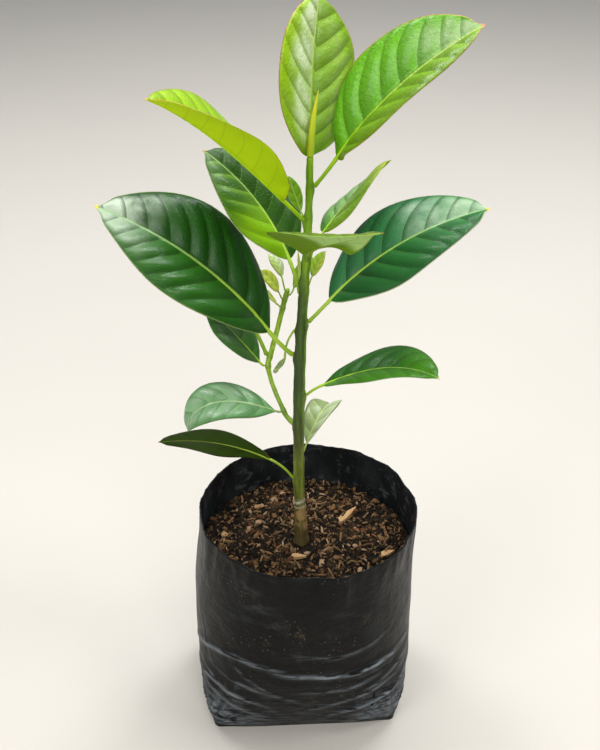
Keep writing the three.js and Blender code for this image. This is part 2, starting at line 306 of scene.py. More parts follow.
# The leaves, as the solids have them
LEAVES = {
    "leaf_lowest_left": dict(
        height=206, heading=176, turn=6, climb=(62, 28, -8), petiole=24, length=85, width=40, roll=-65,
        twist=5, fold=0),
    "leaf_behind_stem": dict(
        height=224, heading=55, turn=20, climb=(55, 50, -80), petiole=9, length=62, width=25, bend=1.5,
        fullness=1, roll=10, fold=20),
    "leaf_lower_right": dict(
        height=280, heading=-10, turn=-25, climb=(50, 30, -10), petiole=16, length=90, width=50, bend=2,
        widest=0.6, roll=-5, twist=10),
    "leaf_large_left": dict(
        height=312, heading=175, climb=(40, 55, 21), petiole=25, length=146, width=82, fullness=0.75,
        roll=25),
    "leaf_small_hanging": dict(
        height=333, heading=150, turn=10, climb=(-50, -90, -20), petiole=28, length=18, width=12, roll=20,
        fold=15),
    "leaf_large_right": dict(
        height=338, heading=12, turn=-18, climb=(45, 47, 17), petiole=22, length=124, width=70,
        fullness=0.7, roll=-20, twist=5, fold=5),
    "leaf_upper_back": dict(
        height=358, heading=127, turn=45, climb=(70, 52, 35), petiole=25, length=94, width=58,
        fullness=0.7, roll=5, twist=10, fold=5),
    "leaf_small_back": dict(
        height=364, heading=40, turn=-10, climb=(70, 60, 50), petiole=8, length=20, width=12, twist=5),
    "leaf_pale_axil": dict(
        height=371, heading=185, climb=(60, 85, 90), petiole=2, length=20, width=6, fold=30),
    "leaf_front": dict(
        height=386, heading=270, turn=75, climb=(60, 35, 20), petiole=10, length=90, width=70, bend=1.5,
        widest=0.4, fullness=1.25, roll=20, twist=-5, left_base=0.4, left_drop=7),
    "leaf_narrow_right": dict(
        height=385, heading=40, turn=10, climb=(70, 40, 10), petiole=20, length=78, width=54, widest=0.55,
        fullness=0.55, taper=2.25, roll=20, twist=40, fold=0),
    "leaf_folded_left": dict(
        height=414, heading=202, turn=20, climb=(50, 48, 30), petiole=23, length=122, width=62, bend=2,
        widest=0.45, fullness=0.5, roll=-5, twist=15, fold=30),
    "leaf_young_pale": dict(
        height=415, heading=150, climb=(45, 65, 70), petiole=5, length=25, width=10, roll=40, fold=15),
    "leaf_top_right": dict(
        height=437, heading=-9, turn=5, climb=(52, 58, 32), petiole=25, length=121, width=66,
        fullness=0.6, roll=-30, fold=25),
    "leaf_top_upright": dict(
        height=449, heading=90, turn=-20, climb=(40, 90, 60), petiole=7, length=100, width=65,
        widest=0.55, fullness=0.7, right_fullness=0.25, roll=-45, twist=-15),
    "leaf_branch_drooping": dict(
        on="branch", height=262, heading=195, turn=-5, climb=(15, 27, -105), petiole=4, length=81,
        width=40, bend=2.5, fullness=0.95, roll=10, fold=5),
    "leaf_branch_left": dict(
        on="branch", height=289, heading=165, turn=-5, climb=(5, 50, 40), petiole=5, length=59, width=40,
        fullness=0.85, roll=5),
    "leaf_branch_upper": dict(
        on="branch", height=295, heading=150, climb=(65, 60, 50), petiole=22, length=70, width=35),
    "leaf_shoot_low": dict(
        on="branch", height=326, heading=220, turn=-5, climb=(55, 50, 55), petiole=4, length=20, width=9,
        roll=30, twist=5),
    "leaf_shoot_middle": dict(
        on="branch", height=331, heading=185, turn=-5, climb=(75, 65, 40), petiole=6, length=23, width=13,
        roll=25),
    "leaf_shoot_left": dict(
        on="branch", height=336, heading=130, turn=10, climb=(70, 70, 20), petiole=11, length=20,
        width=11, roll=-5, fold=5),
    "leaf_shoot_top": dict(
        on="branch", height=334, heading=350, turn=40, climb=(45, 70, 50), petiole=6, length=30, width=14,
        roll=-20, fold=15),
}


def lerp(low, high, share):
    return low + (high - low) * share


def ease(low, high, value):
    """0 below low, 1 above high and smooth between."""
    share = min(max((value - low) / (high - low), 0), 1)
    return share * share * (3 - 2 * share)


def row_at(table, height):
    """The row of a table at a height, read between its rows."""
    if height <= table[0][0]:
        return table[0]
    if height >= table[-1][0]:
        return table[-1]
    upper = next(i for i, row in enumerate(table) if row[0] >= height)
    low, high = table[upper - 1], table[upper]
    share = (height - low[0]) / (high[0] - low[0])
    return tuple(lerp(a, b, share) for a, b in zip(low, high))


def soft_row(table, height, reach):
    """A table's row, averaged over a reach above and below so that its corners are rounded."""
    rows = [row_at(table, height + reach * step / 2) for step in (-2, -1, 0, 1, 2)]
    return tuple(sum(values) / 5 for values in zip(*rows))


def direction(heading, climb):
    """The way that a heading and a climb point."""
    turn, rise = math.radians(heading), math.radians(climb)
    return Vector((math.cos(turn) * math.cos(rise), math.sin(turn) * math.cos(rise), math.sin(rise)))


def limb(centres, radii):
    """A limb as places, each with its centre, its radius and the way it runs."""
    places = []
    for i, (centre, radius) in enumerate(zip(centres, radii)):
        along = centres[min(i + 1, len(centres) - 1)] - centres[max(i - 1, 0)]
        places.append((centre, radius, along.normalized()))
    return places


def limb_at(places, height):
    """The centre and radius of a limb at a height, and the way it runs there."""
    upper = max(next(i for i, place in enumerate(places) if place[0].z >= height), 1)
    low, high = places[upper - 1], places[upper]
    share = (height - low[0].z) / (high[0].z - low[0].z)
    along = low[2].lerp(high[2], share).normalized()
    return low[0].lerp(high[0], share), lerp(low[1], high[1], share), along


def seat(places, height, heading):
    """The centre of a root's foot on its limb, and the ways outward and along the limb."""
    centre, radius, along = limb_at(places, height)
    level = direction(heading, 0)
    outward = (level - along * level.dot(along)).normalized()
    return centre + outward * (radius + GAP), outward, along


def leaf_frame(heading, climb, roll):
    """The ways along a leaf, to its right and up from its upper face."""
    along = direction(heading, climb)
    side = direction(heading - 90, 0)
    normal = side.cross(along)
    lean = math.radians(roll)
    right = side * math.cos(lean) + normal * math.sin(lean)
    return along, right, normal * math.cos(lean) - side * math.sin(lean)


def walk(start, length, angles):
    """A path of small steps whose heading and climb follow a rule."""
    path = [start.copy()]
    for i in range(PATH_STEPS):
        path.append(path[-1] + direction(*angles((i + 0.5) / PATH_STEPS)) * (length / PATH_STEPS))
    return path


def on_path(path, share):
    """The point at a share of a path."""
    place = min(max(share, 0), 1) * (len(path) - 1)
    low = min(int(place), len(path) - 2)
    return path[low].lerp(path[low + 1], place - low)


def half_width(along, widest, fullness, taper):
    """A blade's half width as a share, from its base at 0 to its tip at 1."""
    if along < widest:
        return math.sin(math.pi / 2 * max(along, 0) / widest) ** fullness
    past = min((along - widest) / (1 - widest), 1)
    return max(math.cos(math.pi / 2 * past ** 1.15), 0) ** taper


def hang(along, drop):
    """How far a hanging left half is below the blade: a little above it at the base, below it further on."""
    return drop * lerp(-0.7, 1, ease(0.2, 0.45, along)) * (1 - along ** 4) * min(along / 0.1, 1)


STEM_CENTRES = [Vector((shift, 0, height)) for height, shift, _ in STEM_SECTIONS]
STEM = limb(STEM_CENTRES, [radius for _, _, radius in STEM_SECTIONS])
STEM_FOOT = STEM_SECTIONS[0][1]
BRANCH_SEAT = seat(STEM, BRANCH_HEIGHT, BRANCH_HEADING)
BRANCH = limb([BRANCH_SEAT[0]] + [Vector(point) for point in BRANCH_POINTS], BRANCH_RADII)

# Making surfaces

MERGE_REACH = 0.00001


def surface(name, columns, rows, place, finish, angle=180):
    """A grid wrapped round a form: a rule of the shares across and along places each corner in millimetres
    and gives what the finish reads there; edges that meet are merged."""
    deselect()
    bpy.ops.mesh.primitive_grid_add(x_subdivisions=columns, y_subdivisions=rows, size=2)
    piece = bpy.context.object
    piece.name = name
    piece.data.name = name
    notes = {}
    for vertex in piece.data.vertices:
        point, told = place(vertex.co.x / 2 + 0.5, vertex.co.y / 2 + 0.5)
        vertex.co = Vector(point) * MM
        for key, value in told.items():
            notes.setdefault(key, []).extend(value)
    for key, values in notes.items():
        layer = piece.data.attributes.new(key, "FLOAT_VECTOR", "POINT")
        layer.data.foreach_set("vector", values)
    bpy.ops.object.mode_set(mode="EDIT")
    bpy.ops.mesh.select_all(action="SELECT")
    bpy.ops.mesh.remove_doubles(threshold=MERGE_REACH)
    bpy.ops.mesh.normals_make_consistent(inside=False)
    bpy.ops.object.mode_set(mode="OBJECT")
    if angle < 180:
        bpy.ops.object.shade_smooth_by_angle(angle=math.radians(angle))
    else:
        bpy.ops.object.shade_smooth()
    piece.data.materials.append(finish.material)
    return piece


def stand_for(piece, slot, *nodes):
    """The piece rides on the one body and replaces its solids. The slot is not used."""
    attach(piece, "root")
    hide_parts(*nodes)


def cloud(x, y, z):
    """Smooth noise from -1 to 1."""
    return noise.noise(Vector((x, y, z)))


def crest(value, sharpness):
    """A ridge where a value passes 0."""
    return 1 / (1 + (value * sharpness) ** 2)


def bell(value, reach):
    """1 where a value is 0, gone about two reaches away."""
    return math.exp(-(value / reach) ** 2)


# Leaves

# The greens of the leaves, and the tints of their margins and tips
GREENS = {
    "pine": "#16460a",
    "forest": "#22580f",
    "moss": "#2d5a10",
    "dark_olive": "#2c4600",
    "shade": "#3a6828",
    "bottle": "#2c683c",
    "fern": "#245f2a",
    "grass": "#42800f",
    "meadow": "#4a8a2c",
    "leek": "#6a8e18",
    "spring": "#74a204",
    "fresh": "#60a018",
    "dark_lime": "#6a8e04",
    "olive_lime": "#64801a",
    "apple": "#7aa41c",
    "lime": "#8eb412",
    "acid": "#bedb00",
    "pear": "#9cc034",
    "straw": "#b2c040",
    "celery": "#aabe60",
    "sage": "#8c9e68",
    "dew": "#aed07c",
    "silver": "#5c9054",
    "mist": "#b6c496",
}
EDGES = {
    "khaki": "#7a6a33",
    "pale_green": "#93ae66",
    "ivory": "#ccd8a8",
    "bright_lime": "#a8cc24",
    "gold": "#dcc040",
    "honey": "#cfa03c",
    "amber": "#d0883a",
    "rust": "#d8642a",
    "blush": "#e0a080",
    "cream": "#dcd694",
}

# Each leaf's greens, on its left half, its right half and its underside, and the tints of its margin and tip;
# then how strongly the veins show pale, how deeply it is quilted, and its kind
LeafLook = namedtuple("LeafLook", "left right under rim tip veins quilting kind")
LEAF_LOOKS = {
    "leaf_lowest_left": ("moss", "moss", "dark_olive", "khaki", "honey", 0.3, 0.7, "olive"),
    "leaf_behind_stem": ("sage", "mist", "mist", "ivory", "cream", 0.3, 0.8, "pale"),
    "leaf_lower_right": ("forest", "grass", "meadow", "pale_green", "cream", 0.3, 1.0, "fresh"),
    "leaf_large_left": ("forest", "pine", "meadow", "pale_green", "gold", 0.1, 1.6, "mature"),
    "leaf_small_hanging": ("sage", "sage", "sage", "ivory", "cream", 0.3, 0.8, "pale"),
    "leaf_large_right": ("bottle", "fern", "fern", "ivory", "gold", 0.3, 1.5, "mature"),
    "leaf_upper_back": ("spring", "pine", "spring", "ivory", "amber", 0.25, 1.0, "fresh"),
    "leaf_small_back": ("pear", "straw", "pear", "ivory", "cream", 0.4, 0.9, "pale"),
    "leaf_pale_axil": ("celery", "celery", "celery", "ivory", "cream", 0.2, 0.6, "pale"),
    "leaf_front": ("olive_lime", "olive_lime", "dark_lime", "bright_lime", "amber", 0.3, 0.7, "front"),
    "leaf_narrow_right": ("grass", "leek", "apple", "gold", "amber", 0.4, 1.0, "lime"),
    # Its underside's acid green is partly a painted glow of light shining through the thin leaf
    "leaf_folded_left": ("lime", "lime", "acid", "honey", "gold", 0.2, 0.5, "bright"),
    "leaf_young_pale": ("apple", "apple", "pear", "ivory", "cream", 0.2, 0.6, "pale"),
    "leaf_top_right": ("fresh", "leek", "apple", "honey", "blush", 0.3, 1.4, "lime"),
    "leaf_top_upright": ("lime", "apple", "pear", "amber", "rust", 0.4, 1.9, "lime"),
    "leaf_branch_drooping": ("silver", "silver", "silver", "pale_green", "amber", 0.5, 1.4, "silvery"),
    "leaf_branch_left": ("shade", "shade", "meadow", "pale_green", "honey", 0.3, 1.5, "fresh"),
    "leaf_branch_upper": ("meadow", "meadow", "meadow", "pale_green", "honey", 0.4, 1.0, "fresh"),
    "leaf_shoot_low": ("straw", "straw", "straw", "amber", "amber", 0.2, 0.7, "pale"),
    "leaf_shoot_middle": ("straw", "straw", "straw", "honey", "amber", 0.2, 0.7, "pale"),
    "leaf_shoot_left": ("celery", "mist", "mist", "ivory", "cream", 0.2, 0.7, "pale"),
    "leaf_shoot_top": ("apple", "leek", "celery", "ivory", "honey", 0.3, 0.8, "pale"),
}
LEAF_LOOKS = {name: LeafLook(*look) for name, look in LEAF_LOOKS.items()}

LEAF_SLOTS = {
    "mature": "mature_leaf",
    "olive": "mature_leaf",
    "fresh": "mid_leaf",
    "lime": "lime_leaf",
    "bright": "lime_leaf",
    "front": "lime_leaf",
    "silvery": "mid_leaf",
    "pale": "pale_leaf",
}

# Where a half or an underside changes colour along the blade: which one, the green, and from where to where
COLOUR_SHIFTS = {
    "leaf_upper_back": [("left", "moss", 0.28, 0.6)],
    "leaf_narrow_right": [("left", "straw", 0.5, 0.85), ("right", "straw", 0.4, 0.75)],
    "leaf_large_left": [("left", "shade", 0.66, 0.9)],
    "leaf_large_right": [("left", "silver", 0.6, 1.0)],
    "leaf_lower_right": [("left", "grass", 0.55, 0.85)],
    "leaf_front": [("under", "dew", 0.44, 0.56)],
}

# How strongly the painted gloss, a painted reflection of the sky, pales the panels of the left and the right
# half, where along the blade it starts, and how far out from the midrib it reaches
PAINTED_GLOSS = {
    "leaf_top_upright": (0.95, 0.1, 0.02, 0.85),
    "leaf_large_left": (0.55, 0.8, 0.66, 0.98),
    "leaf_top_right": (0.45, 0, 0.6, 0.9),
    "leaf_upper_back": (0.2, 0.1, 0.76, 0.9),
    "leaf_large_right": (0.42, 0, 0.45, 0.95),
    "leaf_narrow_right": (0.22, 0.06, 0.02, 0.85),
    "leaf_branch_drooping": (0.32, 0.32, 0.1, 0.95),
    "leaf_branch_left": (0.2, 0.2, 0.3, 0.95),
}

# How strong the clear coat is, and where it isn't the usual
USUAL_COAT = 0.4
COATS = {
    "leaf_lower_right": 0.12,
    "leaf_branch_upper": 0.2,
    "leaf_narrow_right": 0.3,
    "leaf_large_right": 0.14,
    "leaf_large_left": 0.16,
    "leaf_upper_back": 0.12,
    "leaf_top_upright": 0.6,
}

# Colours of a petiole at its root, of the midrib at the blade's base and of its thin end
RIB_COLOURS = {
    "mature": ("#83a81c", "#a6c83a", "#8cb478"),
    "olive": ("#8fb01c", "#9cb430", "#7c9428"),
    "fresh": ("#83ac18", "#a8cc34", "#9cc060"),
    "lime": ("#86b40c", "#a8d018", "#cfe07c"),
    "bright": ("#8cb80a", "#b4d804", "#bce004"),
    "front": ("#7f9c10", "#7d9a06", "#8aa60c"),
    "silvery": ("#83ac18", "#9dba7c", "#b0c898"),
    "pale": ("#98bc3c", "#b0cc5c", "#b9d080"),
}

# How dark the painted shade on the side of a panel just past its vein is, and where it isn't the usual
USUAL_PAINTED_SHADE = 0.45
PAINTED_SHADE_DEPTHS = {"mature": 0.6, "silvery": 0.25, "fresh": 0.3}

# How a thin blade or rib glows from within, as red, green and blue light reach into it
GLOW_REACH = (0.5, 0.9, 0.1)
GLOWING_KINDS = ("lime", "bright", "front", "pale")


def painted_gloss(finish, name, halves, share, along, painted_panel_shade):
    """How much the painted gloss, a painted reflection of the sky, pales the panels: soft-edged, away from
    the veins and the margin.
    """
    left, right, low, reach = PAINTED_GLOSS[name]
    crown = finish.step(painted_panel_shade, 0.9, 0.25) * 0.65 + 0.35
    broken = finish.step(finish.grain(60, 3), 0.2, 0.62)
    inside = finish.step(share.size(), reach, reach - 0.35) * finish.step(along, low, low + 0.25)
    return crown * broken * inside * (halves * (right - left) + left)


def blade_sides(finish, name, along):
    """The clouded greens of the left half, the right half and the underside, some turning along the blade."""
    look = LEAF_LOOKS[name]
    patches = finish.grain(30, 3)
    sides = {
        "left": finish.tint(GREENS[look.left], 0.3, patches),
        "right": finish.tint(GREENS[look.right], 0.3, patches),
        "under": finish.tint(GREENS[look.under], 0.14, patches),
    }
    for part, green, low, high in COLOUR_SHIFTS.get(name, []):
        turned = finish.step(along + (patches - 0.5) * 0.2, low, high)
        sides[part] = finish.mix(turned, sides[part], GREENS[green])
    return sides


def upper_face(finish, name, sides, places):
    """Two green halves, each panel with painted shade past its vein and in its crease and painted light
    before the next, under painted gloss and pale veins.
    """
    look = LEAF_LOOKS[name]
    left, right = GREENS[look.left], GREENS[look.right]
    share, along, phase, specks = places
    halves = finish.step(share, -0.02, 0.02)
    between = phase.fraction()
    vein = (between - 0.5).size()
    fade = 1 - finish.step(share.size(), 0.1, 0.85)
    # Painted shade: darker just past each vein and in the vein's crease
    painted_panel_shade = finish.step(between, 0.5, 0.03) * 0.75 + finish.step(vein, 0.36, 0.5) * 0.25
    # Painted light: paler on the side of each panel just before the next vein
    sunlit = finish.step(between, 0.5, 0.96) * finish.step(share.size(), 0.98, 0.6)
    colour = finish.mix(halves, sides["left"], sides["right"])
    # The greens of the painted shade and of the painted light
    shaded_green = finish.mix(halves, with_light(left, 0.34), with_light(right, 0.34))
    bright = finish.mix(halves, with_light(left, 1.9), with_light(right, 1.9))
    colour = finish.mix(painted_panel_shade * PAINTED_SHADE_DEPTHS.get(look.kind, USUAL_PAINTED_SHADE), colour, shaded_green)
    colour = finish.mix(sunlit * (0.4 if look.kind == "lime" else 0.24), colour, bright)
    colour = finish.mix(specks * 0.1, colour, with_light(left, 1.5))
    if name in PAINTED_GLOSS:
        # Painted reflection: the pale colour that the painted gloss mixes into the panels
        pale = "#c8d8c2" if look.kind in ("mature", "fresh", "silvery") else "#e4f0ca"
        colour = finish.mix(painted_gloss(finish, name, halves, share, along, painted_panel_shade), colour, pale)
    vein_line = finish.step(vein, 0.478, 0.496) * fade * look.veins
    return finish.mix(vein_line, colour, finish.mix(0.5, left, "#cfe07c")), vein


def leaf_finish(name):
    """Two green halves, a paler underside, veins that fade towards the margin, a rim in the margin's own tint
    with a painted glow of light through the thin edge, and a coloured tip.
    """
    look = LEAF_LOOKS[name]
    length = LEAVES[name]["length"]
    finish = Finish(
        f"{name}_blade", 0.3, Specular_IOR_Level=0.2, Coat_Roughness=0.22,
        Subsurface_Weight=0.12 if look.kind in GLOWING_KINDS else 0, Subsurface_Radius=GLOW_REACH,
        Subsurface_Scale=0.002)
    share, along, phase = finish.attribute("leaf_place")
    across_mm, margin_mm, face = finish.attribute("leaf_size")
    specks = finish.grain(700, 4)
    sides = blade_sides(finish, name, along)
    upper, vein = upper_face(finish, name, sides, (share, along, phase, specks))
    under_vein = finish.step(vein, 0.42, 0.5) * 0.28
    lower = finish.mix(under_vein, sides["under"], with_light(GREENS[look.under], 0.6))
    colour = finish.mix(face, lower, upper)
    _, rib_base, rib_end = RIB_COLOURS[look.kind]
    rib_colour = finish.turn(along, 0.1, 0.9, rib_base, rib_end)
    rib_half = max(PETIOLE_SHARE * length, PETIOLE_LEAST) * (0.75 - 0.45 * along)
    beside_rib = finish.step(across_mm.size() - rib_half, 0.4, -0.1)
    colour = finish.mix(beside_rib * 0.7, colour, rib_colour)
    # The rim: the margin's own tint, with a painted glow of light through the thin edge
    rim_width = max(0.4, 0.0065 * length)
    rim = 1 - finish.step(margin_mm, rim_width * 0.4, rim_width)
    colour = finish.mix(rim, colour, EDGES[look.rim])
    colour = finish.turn(along, 0.972, 0.99, colour, EDGES[look.tip])
    finish.feed("Base Color", colour)
    finish.feed("Coat Weight", face * COATS.get(name, USUAL_COAT))
    finish.feed("Roughness", 0.56 - face * 0.3 + finish.grain(110, 3) * 0.14)
    blade_relief(finish, look.kind == "lime", face, specks)
    return finish


def blade_relief(finish, creased, face, specks):
    """Fine puckers in a mesh of small veins, deeper on a creased leaf, mostly on the upper face."""
    mesh_veins = finish.step(finish.cells(430, feature="DISTANCE_TO_EDGE"), 0, 0.14)
    blisters = finish.step(finish.cells(330), 0.1, 0.6)
    depth = 1.2 if creased else 0.35
    puckers = finish.grain(230, 2) * depth + mesh_veins * 0.25 + specks * 0.12 - blisters * (depth * 0.35)
    finish.bump(puckers * (face * 0.8 + 0.2), 0.0009 if creased else 0.0006, 0.6)


def rib_finish(kind):
    """Yellow-green, changing along the petiole and the blade, with faint darker blots."""
    root, base, end = RIB_COLOURS[kind]
    finish = Finish(
        f"{kind}_midrib", 0.42, Subsurface_Weight=0.1, Subsurface_Radius=GLOW_REACH, Subsurface_Scale=0.001)
    place, *_ = finish.attribute("rib_place")
    blots = finish.grain(260, 3)
    colour = finish.turn(place, -1, 0, root, base)
    colour = finish.turn(place, 0.1, 0.9, colour, end)
    colour = finish.mix(finish.step(blots, 0.45, 0.75) * 0.3, colour, "#6f8f22")
    finish.feed("Base Color", colour)
    finish.feed("Roughness", blots * 0.2 + 0.34)
    finish.bump(blots, 0.0002, 0.5)
    return finish


# Petioles that are stouter than their leaf's length gives
PETIOLE_BOOST = {
    "leaf_branch_upper": 1.9,
    "leaf_branch_left": 1.5,
    "leaf_upper_back": 1.3,
    "leaf_small_hanging": 1.4,
}


class Leaf:
    """One leaf: its petiole and midrib in one tube, and a blade crowned between its sunken side veins."""

    def __init__(self, name):
        self.name = name
        self.look = LEAF_LOOKS[name]
        self.spec = {**LEAF_DEFAULTS, **LEAVES[name]}
        self.length = self.spec["length"]
        self.radius = max(PETIOLE_SHARE * self.length, PETIOLE_LEAST) * PETIOLE_BOOST.get(name, 1)
        self.thickness = 0.45 + 0.002 * self.length
        self.vein_pairs = max(4, round(3 + self.length / 24))
        self.character = sum(map(ord, name)) % 17 * 0.37
        limb_places = STEM if self.spec["on"] == "stem" else BRANCH
        root, self.outward, _ = seat(limb_places, self.spec["height"], self.spec["heading"])
        self.petiole = walk(root, self.spec["petiole"], self.petiole_angles)
        self.blade = walk(self.petiole[-1], self.length, self.blade_angles)
        self.frames = {}

    def petiole_angles(self, share):
        root_climb, base_climb, _ = self.spec["climb"]
        return self.spec["heading"], lerp(root_climb, base_climb, share)

    def blade_angles(self, share):
        _, base_climb, tip_climb = self.spec["climb"]
        heading = self.spec["heading"] + self.spec["turn"] * share
        return heading, lerp(base_climb, tip_climb, share ** self.spec["bend"])

    def frame_at(self, along):
        """The midrib's place at a share of the blade, the widths of its halves there and its ways."""
        key = round(along * 4000)
        if key not in self.frames:
            spec = self.spec
            half = spec["width"] / 2 * (1 - 0.5 * ease(0.93, 0.975, along))
            left = half * half_width(along, spec["widest"], spec["fullness"], spec["taper"])
            left *= lerp(spec["left_base"], 1, along ** 1.3)
            right_fullness = spec.get("right_fullness", spec["fullness"])
            right = half * half_width(along, spec["widest"], right_fullness, spec["taper"])
            ways = leaf_frame(*self.blade_angles(along), spec["roll"] + spec["twist"] * along)
            self.frames[key] = on_path(self.blade, along), (left, right), ways
        return self.frames[key]

    def vein_phase(self, share, out, along):
        """How many side veins lie between the blade's base and a point of it."""
        uneven = 0.2 * cloud(along * 5, self.character * 3, 1.5 if share > 0 else 4.5)
        reach = out / self.length
        apart = 0.35 if share > 0 else 0
        return (along - 0.5 * reach - 1.5 * reach * reach) * self.vein_pairs + apart + uneven

    def rise(self, share, half, along, phase):
        """How far a point of the blade is above its flat middle: folded, arched, quilted and waved."""
        out = abs(share)
        panel = abs(math.sin(math.pi * phase)) ** 0.75
        reach = ease(0, 0.16, out) * (1 - ease(0.72, 1, out))
        reach *= ease(0.02, 0.12, along) * (1 - ease(0.86, 0.99, along))
        depth = 0.0075 * (1 + 0.45 * cloud(along * 4 + 9, share * 2, self.character))
        quilt = depth * self.look.quilting * self.length * reach * (panel - 0.55)
        swing = math.sin(2 * math.pi * (along * 1.7 + 0.3 * share) + self.character)
        wave = 0.009 * self.length * out * out * swing * ease(0, 0.2, along)
        arch = ARCH_SHARE * half * (out - out * out) * 4 * ease(0, 0.16, along)
        folded = out * half * math.sin(math.radians(self.spec["fold"])) * ease(0, 0.1, along)
        total = folded + arch + quilt + wave * ease(0, 0.06, half / self.length)
        return total - (hang(along, self.spec["left_drop"]) * out * out if share < 0 else 0)

    def on_blade(self, u, along):
        """Round the blade: over its upper face from the left margin to the right, and back underneath."""
        share = 4 * u - 1 if u < 0.5 else 3 - 4 * u
        face = 1 if u < 0.5 else -1
        centre, halves, (_, right, up) = self.frame_at(along)
        half = halves[0] if share < 0 else halves[1]
        out = abs(share)
        phase = self.vein_phase(share, out * half, along)
        skin = self.thickness / 2 * math.sqrt(max(1 - out ** 6, 0)) * min(1, half / 3) * face
        aside = share * half * math.cos(math.radians(self.spec["fold"]))
        point = centre + right * aside + up * (self.rise(share, half, along, phase) + skin)
        told = {
            "leaf_place": (share, along, phase + 20),
            "leaf_size": (share * half, (1 - out) * half, 1 if face > 0 else 0),
        }
        return point, told

    def rib_length(self):
        return self.spec["petiole"] + self.length * 0.985

    def on_rib(self, u, v):
        """Round the tube: along the petiole from inside its seat, then half sunk in the blade to its tip."""
        travelled = v * self.rib_length()
        angle = 2 * math.pi * u
        if travelled < self.spec["petiole"]:
            share = travelled / self.spec["petiole"]
            centre = on_path(self.petiole, share) - self.outward * (1 - ease(0, 0.1, share))
            _, right, up = leaf_frame(*self.petiole_angles(share), self.spec["roll"] * share)
            size = self.radius * (1 + 0.35 * (1 - ease(0, 0.22, share)) + 0.12 * ease(0.8, 1, share))
            drop = (0.3 * self.radius - self.thickness / 2) * ease(0.6, 1, share)
            place = share - 1
        else:
            place = (travelled - self.spec["petiole"]) / self.length
            centre, _, (_, right, up) = self.frame_at(place)
            size = self.radius * (0.22 + 0.78 * (1 - place) ** 1.3)
            drop = 0.34 * size - self.thickness / 2
        size *= min(1, math.sqrt(max(1 - v, 0) * 60)) * min(1, math.sqrt(v * 90))
        point = centre + right * (size * math.cos(angle)) + up * (size * math.sin(angle) - drop)
        return point, {"rib_place": (place, 0, 0)}

    def make(self, rib_finishes):
        short_name = self.name.replace("leaf_", "")
        columns = 2 * max(12, int(self.spec["width"] * 0.5))
        rows = max(26, int(self.length * 0.75))
        blade = surface(f"{short_name}_blade", columns, rows, self.on_blade, leaf_finish(self.name))
        rib_rows = max(24, int(self.rib_length() * 0.6))
        rib = surface(f"{short_name}_midrib", 12, rib_rows, self.on_rib, rib_finishes[self.look.kind])
        for piece in (blade, rib):
            stand_for(piece, LEAF_SLOTS[self.look.kind], self.name)


# Stem, branch and bud


def bark_finish():
    """Brown at the foot, olive over that and green above, with pale lines and dark rings at the nodes."""
    finish = Finish("stem_bark", 0.55)
    height, ring, scar = finish.attribute("stem_place")
    side, *_ = finish.attribute("stem_side")
    lines = finish.grain(420, 4, where=finish.place((1, 1, 0.12)))
    blots = finish.grain(90, 3)
    sunny = finish.step(side + (lines - 0.5) * 0.5, 0.45, 0.95)
    shaded = finish.step(side + (lines - 0.5) * 0.4, 0.1, -0.8)
    green = finish.layers(
        finish.turn(lines, 0.35, 0.7, "#2e4406", "#42620b"),
        (finish.step(blots, 0.55, 0.75) * 0.3, "#587a18"),
        (sunny * 0.65, "#7aa01c"),
        (shaded * 0.6, "#263a06"))
    young = finish.layers(
        finish.turn(lines, 0.35, 0.7, "#6f9608", "#8fb81a"),
        (shaded * 0.5, "#4f7a08"))
    olive = finish.layers(
        finish.turn(lines, 0.35, 0.7, "#363a0c", "#5c6020"),
        (sunny * 0.5, "#84882e"),
        (shaded * 0.5, "#33330f"),
        (finish.step(height, 246, 222) * 0.85, finish.turn(lines, 0.35, 0.7, "#64741a", "#98a244")))
    brown = finish.layers(
        finish.turn(lines, 0.4, 0.65, "#4e441e", "#7c6a3c"),
        (finish.step(blots + side * 0.08, 0.5, 0.62) * 0.9, "#b08c5c"),
        (finish.step(height, 168, 154) * 0.8, "#4a3626"))
    pale_scar = finish.step(height, 212, 200) * 0.9 + 0.05
    broken = finish.step(blots + lines * 0.6, 0.68, 0.86)
    colour = finish.layers(
        finish.turn(height, 350, 395, green, young),
        (finish.step(height, 285, 225) * 0.9, olive),
        (finish.step(height, 205, 175) * 0.9, brown),
        (ring * 0.5, "#243406"),
        (scar * pale_scar * (1 - broken * 0.6), "#d6d2b8"))
    finish.feed("Base Color", colour)
    finish.feed("Roughness", lines * 0.3 + 0.4)
    finish.bump(lines + blots * 0.5, 0.0006, 0.7)
    return finish


# Height and heading of the pale scar of the first leaf
OLD_SCAR = (184, 320)

# The share of the stem's length past which its tip is rounded
STEM_TIP_FROM = 0.994


def node_marks(nodes, angle, height):
    """The dark ring over each node, the thin scar over that, and the swelling under it."""
    ring = scar = swell = 0
    for node, heading in nodes:
        above = height - node
        facing = max(0, math.cos(angle - math.radians(heading)))
        wobble = 0.7 * math.sin(angle * 2 + node)
        swell += 0.08 * bell(above + 1.5, 4)
        swell += 1.1 * facing ** 3 * bell(above + 1.5, 4.5)
        ring = max(ring, (0.12 + 0.88 * facing ** 2) * bell(above - 2.6 + wobble, 1.6))
        scar = max(scar, 0.25 * bell(above - 4.6 + wobble, 0.6))
    slanted = height - OLD_SCAR[0] - 3 - 1.8 * math.cos(angle)
    return ring, max(scar, bell(slanted, 1.3), 0.85 * bell(slanted + 4.6, 0.8)), swell


